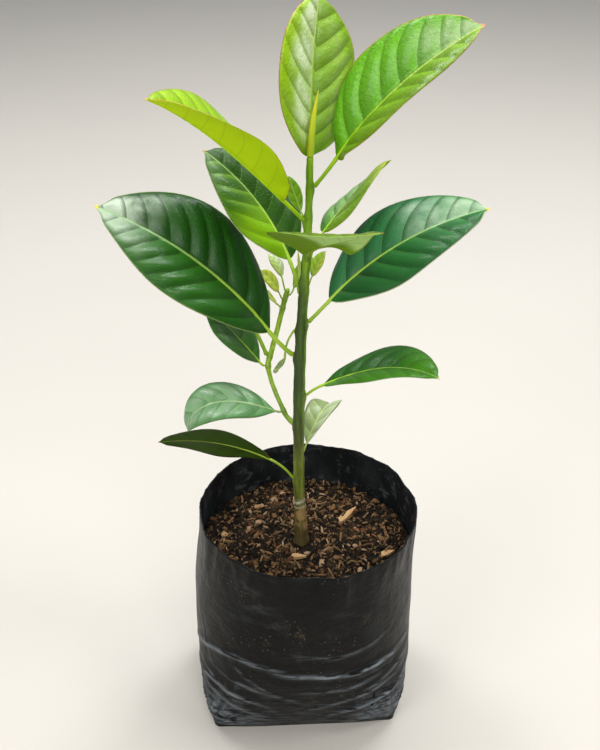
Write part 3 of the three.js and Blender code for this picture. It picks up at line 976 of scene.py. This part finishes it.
def main_stem():
    """A tapering stem, flared at the soil, swollen at each node and ringed by the scars above."""
    nodes = [(spec["height"], spec["heading"]) for spec in LEAVES.values() if spec.get("on") != "branch"]
    nodes += [(BRANCH_HEIGHT, BRANCH_HEADING), OLD_SCAR]
    low, high = STEM_SECTIONS[0][0], STEM_SECTIONS[-1][0]

    def on_stem(u, v):
        height = lerp(low, high, v)
        angle = 2 * math.pi * u
        cosine, sine = math.cos(angle), math.sin(angle)
        _, shift, radius = soft_row(STEM_SECTIONS, height, 5)
        ring, scar, swell = node_marks(nodes, angle, height)
        flutes = 0.16 * math.sin(angle * 5 + height * 0.03) * ease(330, 180, height)
        rough = 0.28 * cloud(cosine * 2.2, sine * 2.2, height / 6)
        flare = 0.7 * math.exp(-(height - low) / 3) * math.sin(angle * 4 + 0.6)
        size = radius + swell + flutes + rough + flare - 0.25 * scar
        size *= 0 if v == 0 else math.sqrt(max(1 - (max(v - STEM_TIP_FROM, 0) / (1 - STEM_TIP_FROM)) ** 2, 0))
        told = {"stem_place": (height, ring, scar), "stem_side": (cosine, sine, 0)}
        return (shift + size * cosine, size * sine, height), told

    piece = surface("stem_with_bark", 40, 420, on_stem, bark_finish())
    stand_for(piece, "bark", "main_stem")


def shoot_finish():
    """Pale yellow-green skin of the side branch, browner at its foot and at its knot."""
    finish = Finish("branch_skin", 0.48)
    height, knot, _ = finish.attribute("branch_place")
    lines = finish.grain(420, 3, where=finish.place((1, 1, 0.15)))
    colour = finish.turn(lines, 0.35, 0.7, "#7ba010", "#a6c838")
    colour = finish.mix(finish.step(height, 288, 262) * 0.5, colour, "#5d7a1c")
    colour = finish.mix(knot * 0.3, colour, "#4a5618")
    finish.feed("Base Color", colour)
    finish.feed("Roughness", lines * 0.25 + 0.36)
    finish.bump(lines, 0.0004, 0.6)
    return finish


def smooth_point(points, share):
    """A point on the smooth curve through the middle two of four points."""
    before, start, end, after = points
    leaving = (end - before) / 2
    arriving = (after - start) / 2
    square, cube = share * share, share ** 3
    return (
        start * (2 * cube - 3 * square + 1) + leaving * (cube - 2 * square + share)
        + end * (3 * square - 2 * cube) + arriving * (cube - square))


def side_branch():
    """The bent shoot behind the stem, with a knot where it turns and swellings under its leaves."""
    knots = [spec["height"] for spec in LEAVES.values() if spec.get("on") == "branch"] + [BRANCH_KNOT]
    centres = [centre for centre, _, _ in BRANCH]
    last = len(centres) - 1
    start = centres[0] - BRANCH_SEAT[1] * 1.6

    def on_branch(u, v):
        low = min(int(v * last), last - 1)
        share = v * last - low
        points = [centres[min(max(low + step, 0), last)] for step in (-1, 0, 1, 2)]
        centre = smooth_point(points, share)
        if low == 0:
            centre = start.lerp(centre, ease(0, 0.5, share))
        ahead = (points[2] - points[1]).normalized()
        before = (points[1] - points[0]).normalized() if low else BRANCH_SEAT[1]
        along = before.lerp(ahead, min(1, share + 0.5)).normalized()
        side = along.cross(Vector((0.2, 0.1, 1))).normalized()
        over = side.cross(along)
        angle = 2 * math.pi * u
        cosine, sine = math.cos(angle), math.sin(angle)
        radius = lerp(BRANCH_RADII[low], BRANCH_RADII[low + 1], share)
        knot = max(bell(centre.z - height, 1.6) for height in knots)
        size = radius + 0.4 * knot + 0.15 * cloud(cosine * 2, sine * 2, centre.z / 4)
        size *= min(1, math.sqrt(max(1 - v, 0) * 40)) * (0 if v == 0 else 1)
        return centre + side * (size * cosine) + over * (size * sine), {"branch_place": (centre.z, knot, 0)}

    piece = surface("side_branch_skin", 24, 120, on_branch, shoot_finish())
    stand_for(piece, "shoot", "side_branch")


def bud_finish():
    """Bright yellow-green sheath with an orange edge along its overlap."""
    finish = Finish("bud_sheath", 0.36, Coat_Weight=0.2, Coat_Roughness=0.2)
    height, edge, _ = finish.attribute("bud_place")
    veins = finish.grain(700, 2, where=finish.place((1, 1, 0.06)))
    colour = finish.turn(height, 0, 0.9, "#a8be18", "#d8d81c")
    colour = finish.mix(finish.step(veins, 0.4, 0.7) * 0.35, colour, "#d5e06a")
    colour = finish.mix(edge, colour, "#dc8420")
    finish.feed("Base Color", colour)
    finish.feed("Roughness", veins * 0.2 + 0.28)
    finish.bump(veins, 0.0003, 0.5)
    return finish


# The width of the bud at shares of its length
BUD_SWELLING = [(0, 0.95), (0.15, 1.05), (0.4, 0.95), (0.7, 0.62), (0.9, 0.3), (0.97, 0.16), (1, 0)]


def terminal_bud():
    """The rolled sheath that closes the stem: a slim spindle with one edge lapped over the other."""
    foot = Vector((STEM_SECTIONS[-1][1], 0, STEM_SECTIONS[-1][0] + GAP - 1.2))
    tip = Vector(BUD_TIP)

    def on_bud(u, v):
        angle = 2 * math.pi * u
        lap = (u + 0.12 * v + 0.35) % 1
        step = 0.34 * (1 - ease(0, 0.1, lap)) * math.sin(math.pi * min(v * 1.05, 1))
        size = BUD_RADIUS * row_at(BUD_SWELLING, v)[1] * (0 if v == 0 else 1) + step
        centre = foot.lerp(tip, v) + Vector((-0.9, 0, 0)) * math.sin(math.pi * v)
        edge = (1 - ease(0.015, 0.04, lap)) * ease(0.05, 0.2, v)
        around = Vector((size * math.cos(angle), size * math.sin(angle) * 0.85, 0))
        return centre + around, {"bud_place": (v, edge, 0)}

    piece = surface("bud_with_sheath", 36, 70, on_bud, bud_finish())
    stand_for(piece, "bud", "terminal_bud")


# The bag

BAG_COLUMNS = 264
OUTLINE_STEPS = 720

# The film's thickness, the height of the floor inside, and the height under which soil hides the inside
FILM = 1.0
INNER_FLOOR = 1.2
BURIED_FROM = 128

# The directions of the bag's corners, where creases fan out from the base
CREASED_CORNERS = (35, 145, 215, 325)

# The film's long folds on the front, each an arc: its depth, the directions round the bag and the heights
# where it starts and ends, and how far its middle is above the straight line between them
FRONT_FOLDS = [
    (2.6, 250, 345, 85, 87, -7),
    (2.0, 185, 262, 62, 84, 16),
    (2.4, 284, 352, 15, 62, 2),
    (1.7, 296, 345, 9, 38, -4),
    (1.5, 272, 338, 30, 66, 0),
    (1.3, 262, 315, 60, 70, -6),
    (2.1, 178, 254, 34, 30, 22),
    (1.9, 196, 246, 58, 20, 2),
    (1.5, 200, 244, 6, 8, 5),
    (0.9, 222, 276, 98, 40, -8),
    (1.2, 198, 218, 114, 70, 0),
    (1.3, 212, 258, 72, 52, 2),
    (1.4, 206, 250, 30, 14, 0),
    (1.0, 262, 322, 106, 112, -8),
    (1.5, 300, 342, 6, 24, -2),
    (1.5, 288, 332, 22, 44, 2),
    (1.4, 302, 344, 52, 72, 4),
    (1.6, 192, 228, 46, 18, 1),
    (1.5, 190, 230, 24, 13, 1),
    (1.4, 200, 238, 68, 34, 5),
]

# The folds of the back mirror them, a little shallower and closer together
BACK_FOLDS = [
    (depth * 0.9, 360 - last, 360 - first, high * 0.93 + 2, low * 0.93 + 2, bow)
    for depth, first, last, low, high, bow in FRONT_FOLDS]


def bag_ring(height):
    """The bag's plain outline at a height, as points evenly spaced round it, starting at the right."""
    section = soft_row(BAG_SECTIONS, height, 4) if height > 8 else row_at(BAG_SECTIONS, height)
    _, width, depth, shift, squareness = section
    ear = EAR_LENGTH * math.exp(-height / EAR_HEIGHT)
    turn = Matrix.Rotation(math.radians(BASE_TURN) * (1 - height / BAG_HEIGHT), 3, "Z")
    outline = []
    for i in range(OUTLINE_STEPS):
        angle = math.tau * i / OUTLINE_STEPS
        cosine, sine = math.cos(angle), math.sin(angle)
        push = ear * abs(2 * sine * cosine) ** 8 * math.sqrt(0.5)
        x = math.copysign(abs(cosine) ** (2 / squareness) * width + push, cosine)
        y = math.copysign(abs(sine) ** (2 / squareness) * depth + push, sine)
        outline.append(turn @ Vector((x, y, height)) + Vector((shift, 0, 0)))
    outline.append(outline[0])
    run = [0]
    for before, after in zip(outline, outline[1:]):
        run.append(run[-1] + (after - before).length)
    ring, low = [], 0
    for i in range(BAG_COLUMNS):
        wanted = run[-1] * i / BAG_COLUMNS
        while run[low + 1] < wanted:
            low += 1
        ring.append(outline[low].lerp(outline[low + 1], (wanted - run[low]) / (run[low + 1] - run[low])))
    return ring


def fold_crests(way, height):
    """How far the folds stand out at a direction and a height, and how near their crests it is."""
    out = near = 0
    for depth, first, last, low, high, bow in FRONT_FOLDS + BACK_FOLDS:
        if first < way < last:
            along = (way - first) / (last - first)
            sway = 1.8 * cloud(way / 14, depth * 9, 2)
            middle = lerp(low, high, along) + bow * 4 * along * (1 - along) + sway
            window = math.sin(math.pi * along) ** 0.6 * (0.72 + 0.4 * cloud(way / 9, depth * 5, 7))
            gap = (height - middle) / (1.5 + 0.5 * depth)
            out += depth * window * (1 / (1 + gap * gap) - 0.32 * bell(gap + 2, 1.4))
            near = max(near, window * bell(gap - 0.15, 0.75) * depth / 2.2)
    return out, near


def film_relief(way, height):
    """How far slack, folds, creases and crumples push the film out, and how near a crest it is."""
    turn = math.radians(way)
    cosine, sine = math.cos(turn), math.sin(turn)
    slack = 1.2 * cloud(cosine * 1.5 + 3, sine * 1.5, height / 50)
    slack += 0.5 * cloud(cosine * 4.5, sine * 4.5 + 7, height / 24)
    folds, near = fold_crests(way, height)
    corner = min(abs(way - angle) for angle in CREASED_CORNERS)
    aside = math.radians(corner) * 92
    fan = math.degrees(math.atan2(height, aside + 0.01))
    rays = crest(cloud(fan / 8, cosine * 2.4, sine * 2.4), 5) * bell(math.hypot(aside, height) - 20, 19)
    crumple = 2.3 * cloud(cosine * 3.6, sine * 3.6, height / 80) * ease(125, 172, height)
    crumple += 0.9 * crest(cloud(cosine * 8 + 2, sine * 8, height / 60), 5) * ease(135, 172, height)
    low = ease(0.5, 7, height)
    return (slack + folds + 1.5 * rays) * low + crumple - 0.5, max(near, rays * 0.8) * low


film_rings = {}


def film_point(column, height, inset=0):
    """A point of the wrinkled film, or of its inner face, a little way in, and how near a crest it is."""
    key = round(height, 4)
    if key not in film_rings:
        middle = Vector((row_at(BAG_SECTIONS, height)[3], 0, height))
        film_rings[key] = []
        for plain in bag_ring(height):
            outward = (plain - middle).normalized()
            way = math.degrees(math.atan2(outward.y, outward.x)) % 360
            relief, near = film_relief(way, height)
            film_rings[key].append((plain + outward * relief, outward, near))
    point, outward, near = film_rings[key][column % BAG_COLUMNS]
    return point - outward * inset, near


def film_finish():
    """Thin black film: a dull sheen, fine crinkles, folds with painted blue-grey highlights over some
    whitening of their own, painted reflections in the low creases, painted sheen patches and highlights
    inside, and dusty smears and specks.
    """
    finish = Finish("black_film", 0.4, Specular_IOR_Level=0.13)
    near, height, inner = finish.attribute("film_place")
    outer = 1 - inner
    crinkle = finish.grain(120, 5, 0.6)
    streaks = finish.grain(150, 4, 0.6, finish.place((0.4, 0.4, 2.2)))
    inner_pleat_highlights = finish.grain(60, 4, where=finish.place((1, 1, 0.4)))
    painted_sheen_patches = finish.step(finish.grain(40, 4, 0.6), 0.5, 0.74)
    inner_rumple_highlights = finish.step(crinkle, 0.52, 0.6) * finish.step(streaks, 0.4, 0.6)
    smears = finish.step(finish.grain(34, 6, 0.7, finish.place((0.7, 1, 2.4))), 0.52, 0.74)
    dust = finish.step(finish.grain(75, 6, 0.7), 0.55, 0.75) * finish.step(finish.grain(16, 2), 0.47, 0.68)
    specks = finish.step(finish.cells(300), 0.2, 0.08) * finish.step(finish.grain(34, 2), 0.5, 0.62)
    colour = finish.layers(
        finish.turn(crinkle, 0.35, 0.7, "#050505", "#0c0d0e"),
        # Painted sheen: soft blue-grey patches, stronger lower down and gone at the rim
        (painted_sheen_patches * finish.step(height, 178, 90) * 0.3, "#2c3338"),
        (inner * 0.75, "#212426"),
        # Painted highlights on the pleats and rumples of the inner wall
        (inner * finish.step(inner_pleat_highlights, 0.4, 0.75) * 0.35, "#4c5154"),
        (inner * inner_rumple_highlights * 0.5, "#62666a"),
        # Painted highlight along the crests of the folds, over some blue-grey whitening of the film itself
        (near * finish.step(streaks, 0.38, 0.56) * outer * 0.85, "#929ba3"),
        # Painted reflection of the sky in the creases of the lower part
        (finish.step(height, 75, 15) * outer * finish.step(streaks, 0.5, 0.68) * 0.35, "#626b73"),
        (smears * finish.step(height, 105, 150) * outer * 0.35, "#4a4f52"),
        (dust * 0.42, "#6f6250"),
        (specks * 0.55, "#867a68"))
    finish.feed("Base Color", colour)
    finish.feed("Roughness", crinkle * 0.3 + dust * 0.3 + 0.24)
    finish.bump(crinkle + streaks * 0.15 + finish.grain(900, 3) * 0.06, 0.002, 0.45)
    return finish


# The stretches of the bag's one shell, and how many rows of faces each has
FILM_ROWS = {"base": 4, "outside": 150, "rim": 3, "inside": 34, "buried": 8, "floor": 2}


def film_stretch(row):
    """Which stretch of the shell a row is in, and how far along it."""
    for stretch, count in FILM_ROWS.items():
        if row <= count:
            break
        row -= count
    return stretch, row / count


def grow_bag():
    """One shell of film: under the base, up the wrinkled outside, over the rim and down the inside."""
    total = sum(FILM_ROWS.values())
    middle = Vector((BAG_SECTIONS[0][3], 0, 0))

    def on_film(u, v):
        column = round(u * BAG_COLUMNS)
        stretch, share = film_stretch(round(v * total))
        near, inner = 0, 1
        if stretch == "base":
            height, inner = 0, 0
            point = middle.lerp(film_point(column, 0)[0], share)
        elif stretch == "outside":
            height, inner = BAG_HEIGHT * share ** 1.15, 0
            point, near = film_point(column, height)
        elif stretch == "rim":
            height, inner = BAG_HEIGHT, 0.5
            roll = Vector((0, 0, 0.35 * math.sin(math.pi * share)))
            point = film_point(column, height, FILM * share)[0] + roll
        elif stretch == "inside":
            height = lerp(BAG_HEIGHT, BURIED_FROM, share)
            point = film_point(column, height, FILM)[0]
        elif stretch == "buried":
            height = lerp(BURIED_FROM, INNER_FLOOR, share)
            point = film_point(column, height, FILM)[0]
        else:
            height = INNER_FLOOR
            point = film_point(column, height, FILM)[0].lerp(middle + Vector((0, 0, height)), share)
        turn = math.tau * u
        waver = 1.3 * cloud(math.cos(turn) * 2.6, math.sin(turn) * 2.6, 4.4) - 0.4
        lift = Vector((0, 0, waver * ease(165, BAG_HEIGHT, height)))
        return point + lift, {"film_place": (near, height, inner)}

    piece = surface("bag_of_film", BAG_COLUMNS, total, on_film, film_finish())
    stand_for(piece, "film", "grow_bag")


# The potting soil

# How much lower the lumps lie on the whole, and the heights of the plug's underside, wall and edge
SOIL_SINK = 0.3
SOIL_UNDERSIDE = 1.7
SOIL_WALL = (2, 141)
SOIL_EDGE = 144

# The circle in which the crumbs lie, and how far they keep from the middle of the stem
SOIL_MIDDLE = -0.5
SOIL_RADIUS = 80
STEM_CLEARANCE = 8

# Half the side of the square in which the crumbs' places are drawn
SPREAD = 84

# A second chance of each crumb, which picks out the odd red or pale one, is worked out from its tone
ODDNESS_STEP = 61

# The crumbs: a seed, how many, their least and greatest size, and their dark and light brown
CRUMBS = {
    "coarse_crumbs": (11, 640, 2.0, 6.0, "#20160d", "#76593a"),
    "fine_crumbs": (12, 1700, 0.9, 2.4, "#18110a", "#84694a"),
}

FLAKE_SEED = 21
FLAKE_COUNT = 1150

# The chips of wood: where each lies, its lift, its turn and tilt in radians, its size against the model's,
# and its tone
WOOD_CHIPS = [
    (33, 32, 2.0, 0.85, -0.12, (1, 1, 1), 0.82),
    (-5.5, -17.5, 1.4, 0.15, 0.12, (0.58, 0.9, 1), 0.7),
    (62, -13, 1.4, 0.4, -0.12, (0.55, 1, 1), 0.76),
    (-63.5, 10, 1.2, 1.9, 0.1, (0.36, 0.8, 1), 0.6),
    (-28, -38, 1.0, 2.4, 0.2, (0.3, 0.5, 0.8), 0.4),
    (22, -52, 1.0, 0.9, -0.2, (0.35, 0.45, 0.8), 0.4),
    (-40, 42, 1.0, 2.9, 0.2, (0.4, 0.5, 0.8), 0.45),
    (48, 8, 1.0, 1.3, 0.1, (0.3, 0.5, 0.8), 0.4),
]


def soil_top(x, y):
    """The height of the crumbly surface, flat round the stem's foot."""
    rough = ease(6, 20, math.hypot(x - STEM_FOOT, y))
    lumps = 2.4 * cloud(x / 15, y / 15, 0.5) + 1.7 * cloud(x / 6, y / 6, 3.5)
    lumps += 0.9 * cloud(x / 2.6, y / 2.6, 8.5)
    return SOIL_LEVEL + lumps * rough - SOIL_SINK * rough


def soil_finish(name, dark, light, grit):
    """Crumbs in many browns, each with its own tone, the plug of soil with painted shade in its hollows, and
    a gritty relief.
    """
    finish = Finish(name, 0.95, Specular_IOR_Level=0.2)
    tone, oddness, _ = finish.attribute("soil_tone_and_shade")
    clods = finish.grain(230, 5, 0.65)
    fine = finish.grain(1500, 4)
    colour = finish.layers(
        finish.turn(clods + (tone - 0.5) * 0.7, 0.34, 0.66, dark, light),
        (finish.step(fine, 0.54, 0.68) * tone, grit),
        (finish.step(oddness, 0.72, 0.8) * 0.3, "#94603c"),
        (finish.step(oddness, 0.93, 0.96) * 0.6, "#c8a888"))
    finish.feed("Base Color", colour)
    finish.feed("Roughness", 1 - clods * 0.15)
    finish.bump(clods + fine * 0.7, 0.0025, 0.9)
    return finish


def potting_soil():
    """The plug of soil in the bag, lumpy on top."""
    under_rows, wall_rows, top_rows = 2, 8, 84
    total = under_rows + wall_rows + top_rows
    foot = Vector((STEM_FOOT, 0, 0))
    inset = FILM + GAP

    def from_foot(column, height, share):
        """A share of the way from the stem's foot to the film at a height."""
        edge = film_point(column, height, inset)[0]
        return foot.lerp(Vector((edge.x, edge.y, 0)), share)

    def on_soil(u, v):
        column = round(u * BAG_COLUMNS)
        row = round(v * total)
        if row <= under_rows:
            point = from_foot(column, SOIL_WALL[0], row / under_rows)
            point.z = SOIL_UNDERSIDE
        elif row <= under_rows + wall_rows:
            point = film_point(column, lerp(*SOIL_WALL, (row - under_rows) / wall_rows), inset)[0]
        else:
            share = 1 - (row - under_rows - wall_rows) / top_rows
            point = from_foot(column, SOIL_EDGE, share)
            point.z = soil_top(point.x, point.y) - 1.5 * ease(0.97, 1, share)
        # Painted shade: the soil is darker in its hollows and lighter on its lumps
        tone = ease(-3, 3, point.z - SOIL_LEVEL) * 0.6
        return point, {"soil_tone_and_shade": (tone, 0, 0)}

    mix = soil_finish("soil_mix", "#0f0a06", "#42321e", "#7c664a")
    soil = surface("soil_surface", BAG_COLUMNS, total, on_soil, mix)
    stand_for(soil, "soil", "potting_soil")


def spots(seed, count, reach):
    """Seeded places over the soil: each an x and y, a turn, a chance for its size, a tilt and a tone."""
    dice = random.Random(seed)
    found = []
    while len(found) < count:
        x, y = dice.uniform(-SPREAD, SPREAD), dice.uniform(-SPREAD, SPREAD)
        inside = math.hypot(x - SOIL_MIDDLE, y) < SOIL_RADIUS * reach
        if inside and math.hypot(x - STEM_FOOT, y) > STEM_CLEARANCE:
            found.append((x, y, dice.uniform(0, 6.28), dice.random(), dice.uniform(-0.6, 0.6), dice.random()))
    return found


def scatter(name, model, places, finish):
    """Copies of one model, each with its own mesh, joined into one piece."""
    copies = []
    for placing, tone in places:
        copy = model.copy()
        copy.data = model.data.copy()
        copy.data.transform(placing)
        oddness = tone * ODDNESS_STEP % 1
        layer = copy.data.attributes.new("soil_tone_and_shade", "FLOAT_VECTOR", "POINT")
        layer.data.foreach_set("vector", [tone, oddness, 0] * len(copy.data.vertices))
        bpy.context.scene.collection.objects.link(copy)
        copies.append(copy)
    bpy.data.objects.remove(model)
    deselect()
    for copy in copies:
        copy.select_set(True)
    bpy.context.view_layer.objects.active = copies[0]
    bpy.ops.object.join()
    piece = bpy.context.object
    piece.name = name
    piece.data.name = name
    piece.data.materials.append(finish.material)
    stand_for(piece, "soil", "potting_soil")


def placed(x, y, lift, turn, tilt, size):
    """Where a crumb or chip lies on the soil, in metres."""
    where = Vector((x, y, soil_top(x, y) + lift)) * MM
    turned = Matrix.Rotation(turn, 4, "Z") @ Matrix.Rotation(tilt, 4, "Y")
    return Matrix.Translation(where) @ turned @ Matrix.Diagonal((*size, 1))


def cut_block(cuts):
    """A block one metre across, with its faces cut into smaller ones."""
    deselect()
    bpy.ops.mesh.primitive_cube_add(size=1)
    bpy.ops.object.mode_set(mode="EDIT")
    bpy.ops.mesh.select_all(action="SELECT")
    bpy.ops.mesh.subdivide(number_cuts=cuts)
    bpy.ops.object.mode_set(mode="OBJECT")
    return bpy.context.object


def crumb_model(seed):
    """A rough lump of two dozen faces, one millimetre across."""
    model = cut_block(1)
    bpy.ops.object.mode_set(mode="EDIT")
    bpy.ops.mesh.select_all(action="SELECT")
    bpy.ops.transform.tosphere(value=0.8)
    bpy.ops.object.mode_set(mode="OBJECT")
    for vertex in model.data.vertices:
        way = vertex.co.normalized()
        vertex.co = way * 0.5 * (1 + 0.5 * cloud(way.x * 1.6 + seed, way.y * 1.6, way.z * 1.6)) * MM
    bpy.ops.object.shade_smooth_by_angle(angle=math.radians(30))
    return model


def splinter_model(length, width, thick):
    """A torn sliver: a block drawn out to one sharp end and one blunt end, with its edges bevelled."""
    model = cut_block(2)
    for vertex in model.data.vertices:
        x, y, z = vertex.co
        narrow = 1 - 0.8 * ease(-0.1, 0.5, x)
        across = y * width * narrow - 0.12 * width * x + 0.1 * width * cloud(x * 5, y * 3, 1.5)
        rise = z * thick * (0.5 + 0.5 * narrow) * (1.3 - 0.8 * y) + 0.2 * thick * cloud(x * 4, y * 3, 6)
        vertex.co = Vector((x * length + 0.22 * length * y * (0.5 - x), across, rise)) * MM
    bpy.ops.object.modifier_add(type="BEVEL")
    bevel = model.modifiers[-1]
    bevel.width = 0.14 * thick * MM
    bevel.segments = 1
    bevel.limit_method = "ANGLE"
    bpy.ops.object.modifier_apply(modifier=bevel.name)
    return model


def flake_model(length, width, thick):
    """A curled scrap of bark: a bent block of two dozen faces with ragged ends."""
    model = cut_block(1)
    for vertex in model.data.vertices:
        x, y, z = vertex.co
        curl = 1.1 * (0.25 - x * x) * thick
        across = y * width * (1 - 1.1 * x * x) + 0.2 * width * cloud(x * 3, y * 3, 2.5)
        vertex.co = Vector((x * length + 0.25 * length * y * x, across, z * thick * (1 - abs(x)) + curl)) * MM
    bpy.ops.object.shade_smooth_by_angle(angle=math.radians(35))
    return model


def soil_crumbs():
    """Crumbs in two sizes, most of them small."""
    for name, (seed, count, least, greatest, dark, light) in CRUMBS.items():
        places = []
        for x, y, turn, chance, tilt, tone in spots(seed, count, 0.98):
            size = lerp(least, greatest, chance ** 2.5)
            shape = (size * (1 + 0.9 * abs(tilt)), size * 0.72, size * 0.6)
            places.append((placed(x, y, size * 0.2, turn, tilt, shape), tone ** 1.4))
        scatter(name, crumb_model(seed), places, soil_finish(name, dark, light, "#b39468"))


def soil_flakes():
    """Curled scraps and thin fibres of bark."""
    places = []
    for x, y, turn, chance, tilt, tone in spots(FLAKE_SEED, FLAKE_COUNT, 0.96):
        size = lerp(0.3, 1.5, chance ** 2)
        shape = (size, 0.3 + size * 0.45 + 0.4 * abs(tilt), 1 + size * 0.5)
        places.append((placed(x, y, 1.0, turn, tilt * 1.1, shape), tone ** 1.3))
    finish = soil_finish("soil_flake", "#1e150c", "#7e6040", "#b89e78")
    scatter("soil_flakes", flake_model(6, 1.5, 0.7), places, finish)


def wood_chips():
    """The pale chips of wood on the soil, one long and the rest shorter."""
    places = [(placed(*place), tone) for *place, tone in WOOD_CHIPS]
    finish = soil_finish("chip_wood", "#8a6238", "#cba271", "#dcc096")
    scatter("wood_chips", splinter_model(20, 5.6, 1.6), places, finish)


# The floor

FLOOR_COLOUR = "#cfcac2"


def studio_floor():
    """A plain pale floor."""
    deselect()
    bpy.ops.mesh.primitive_plane_add(size=8)
    floor = bpy.context.object
    floor.name = "studio_floor"
    finish = Finish("pale_floor", 0.9)
    finish.feed("Base Color", finish.tint(FLOOR_COLOUR, 0.03, finish.grain(3, 2)))
    floor.data.materials.append(finish.material)


place_camera()
place_lights()
studio_floor()
grow_bag()
potting_soil()
soil_crumbs()
soil_flakes()
wood_chips()
main_stem()
side_branch()
terminal_bud()
midribs = {kind: rib_finish(kind) for kind in RIB_COLOURS}
for leaf_name in LEAVES:
    Leaf(leaf_name).make(midribs)
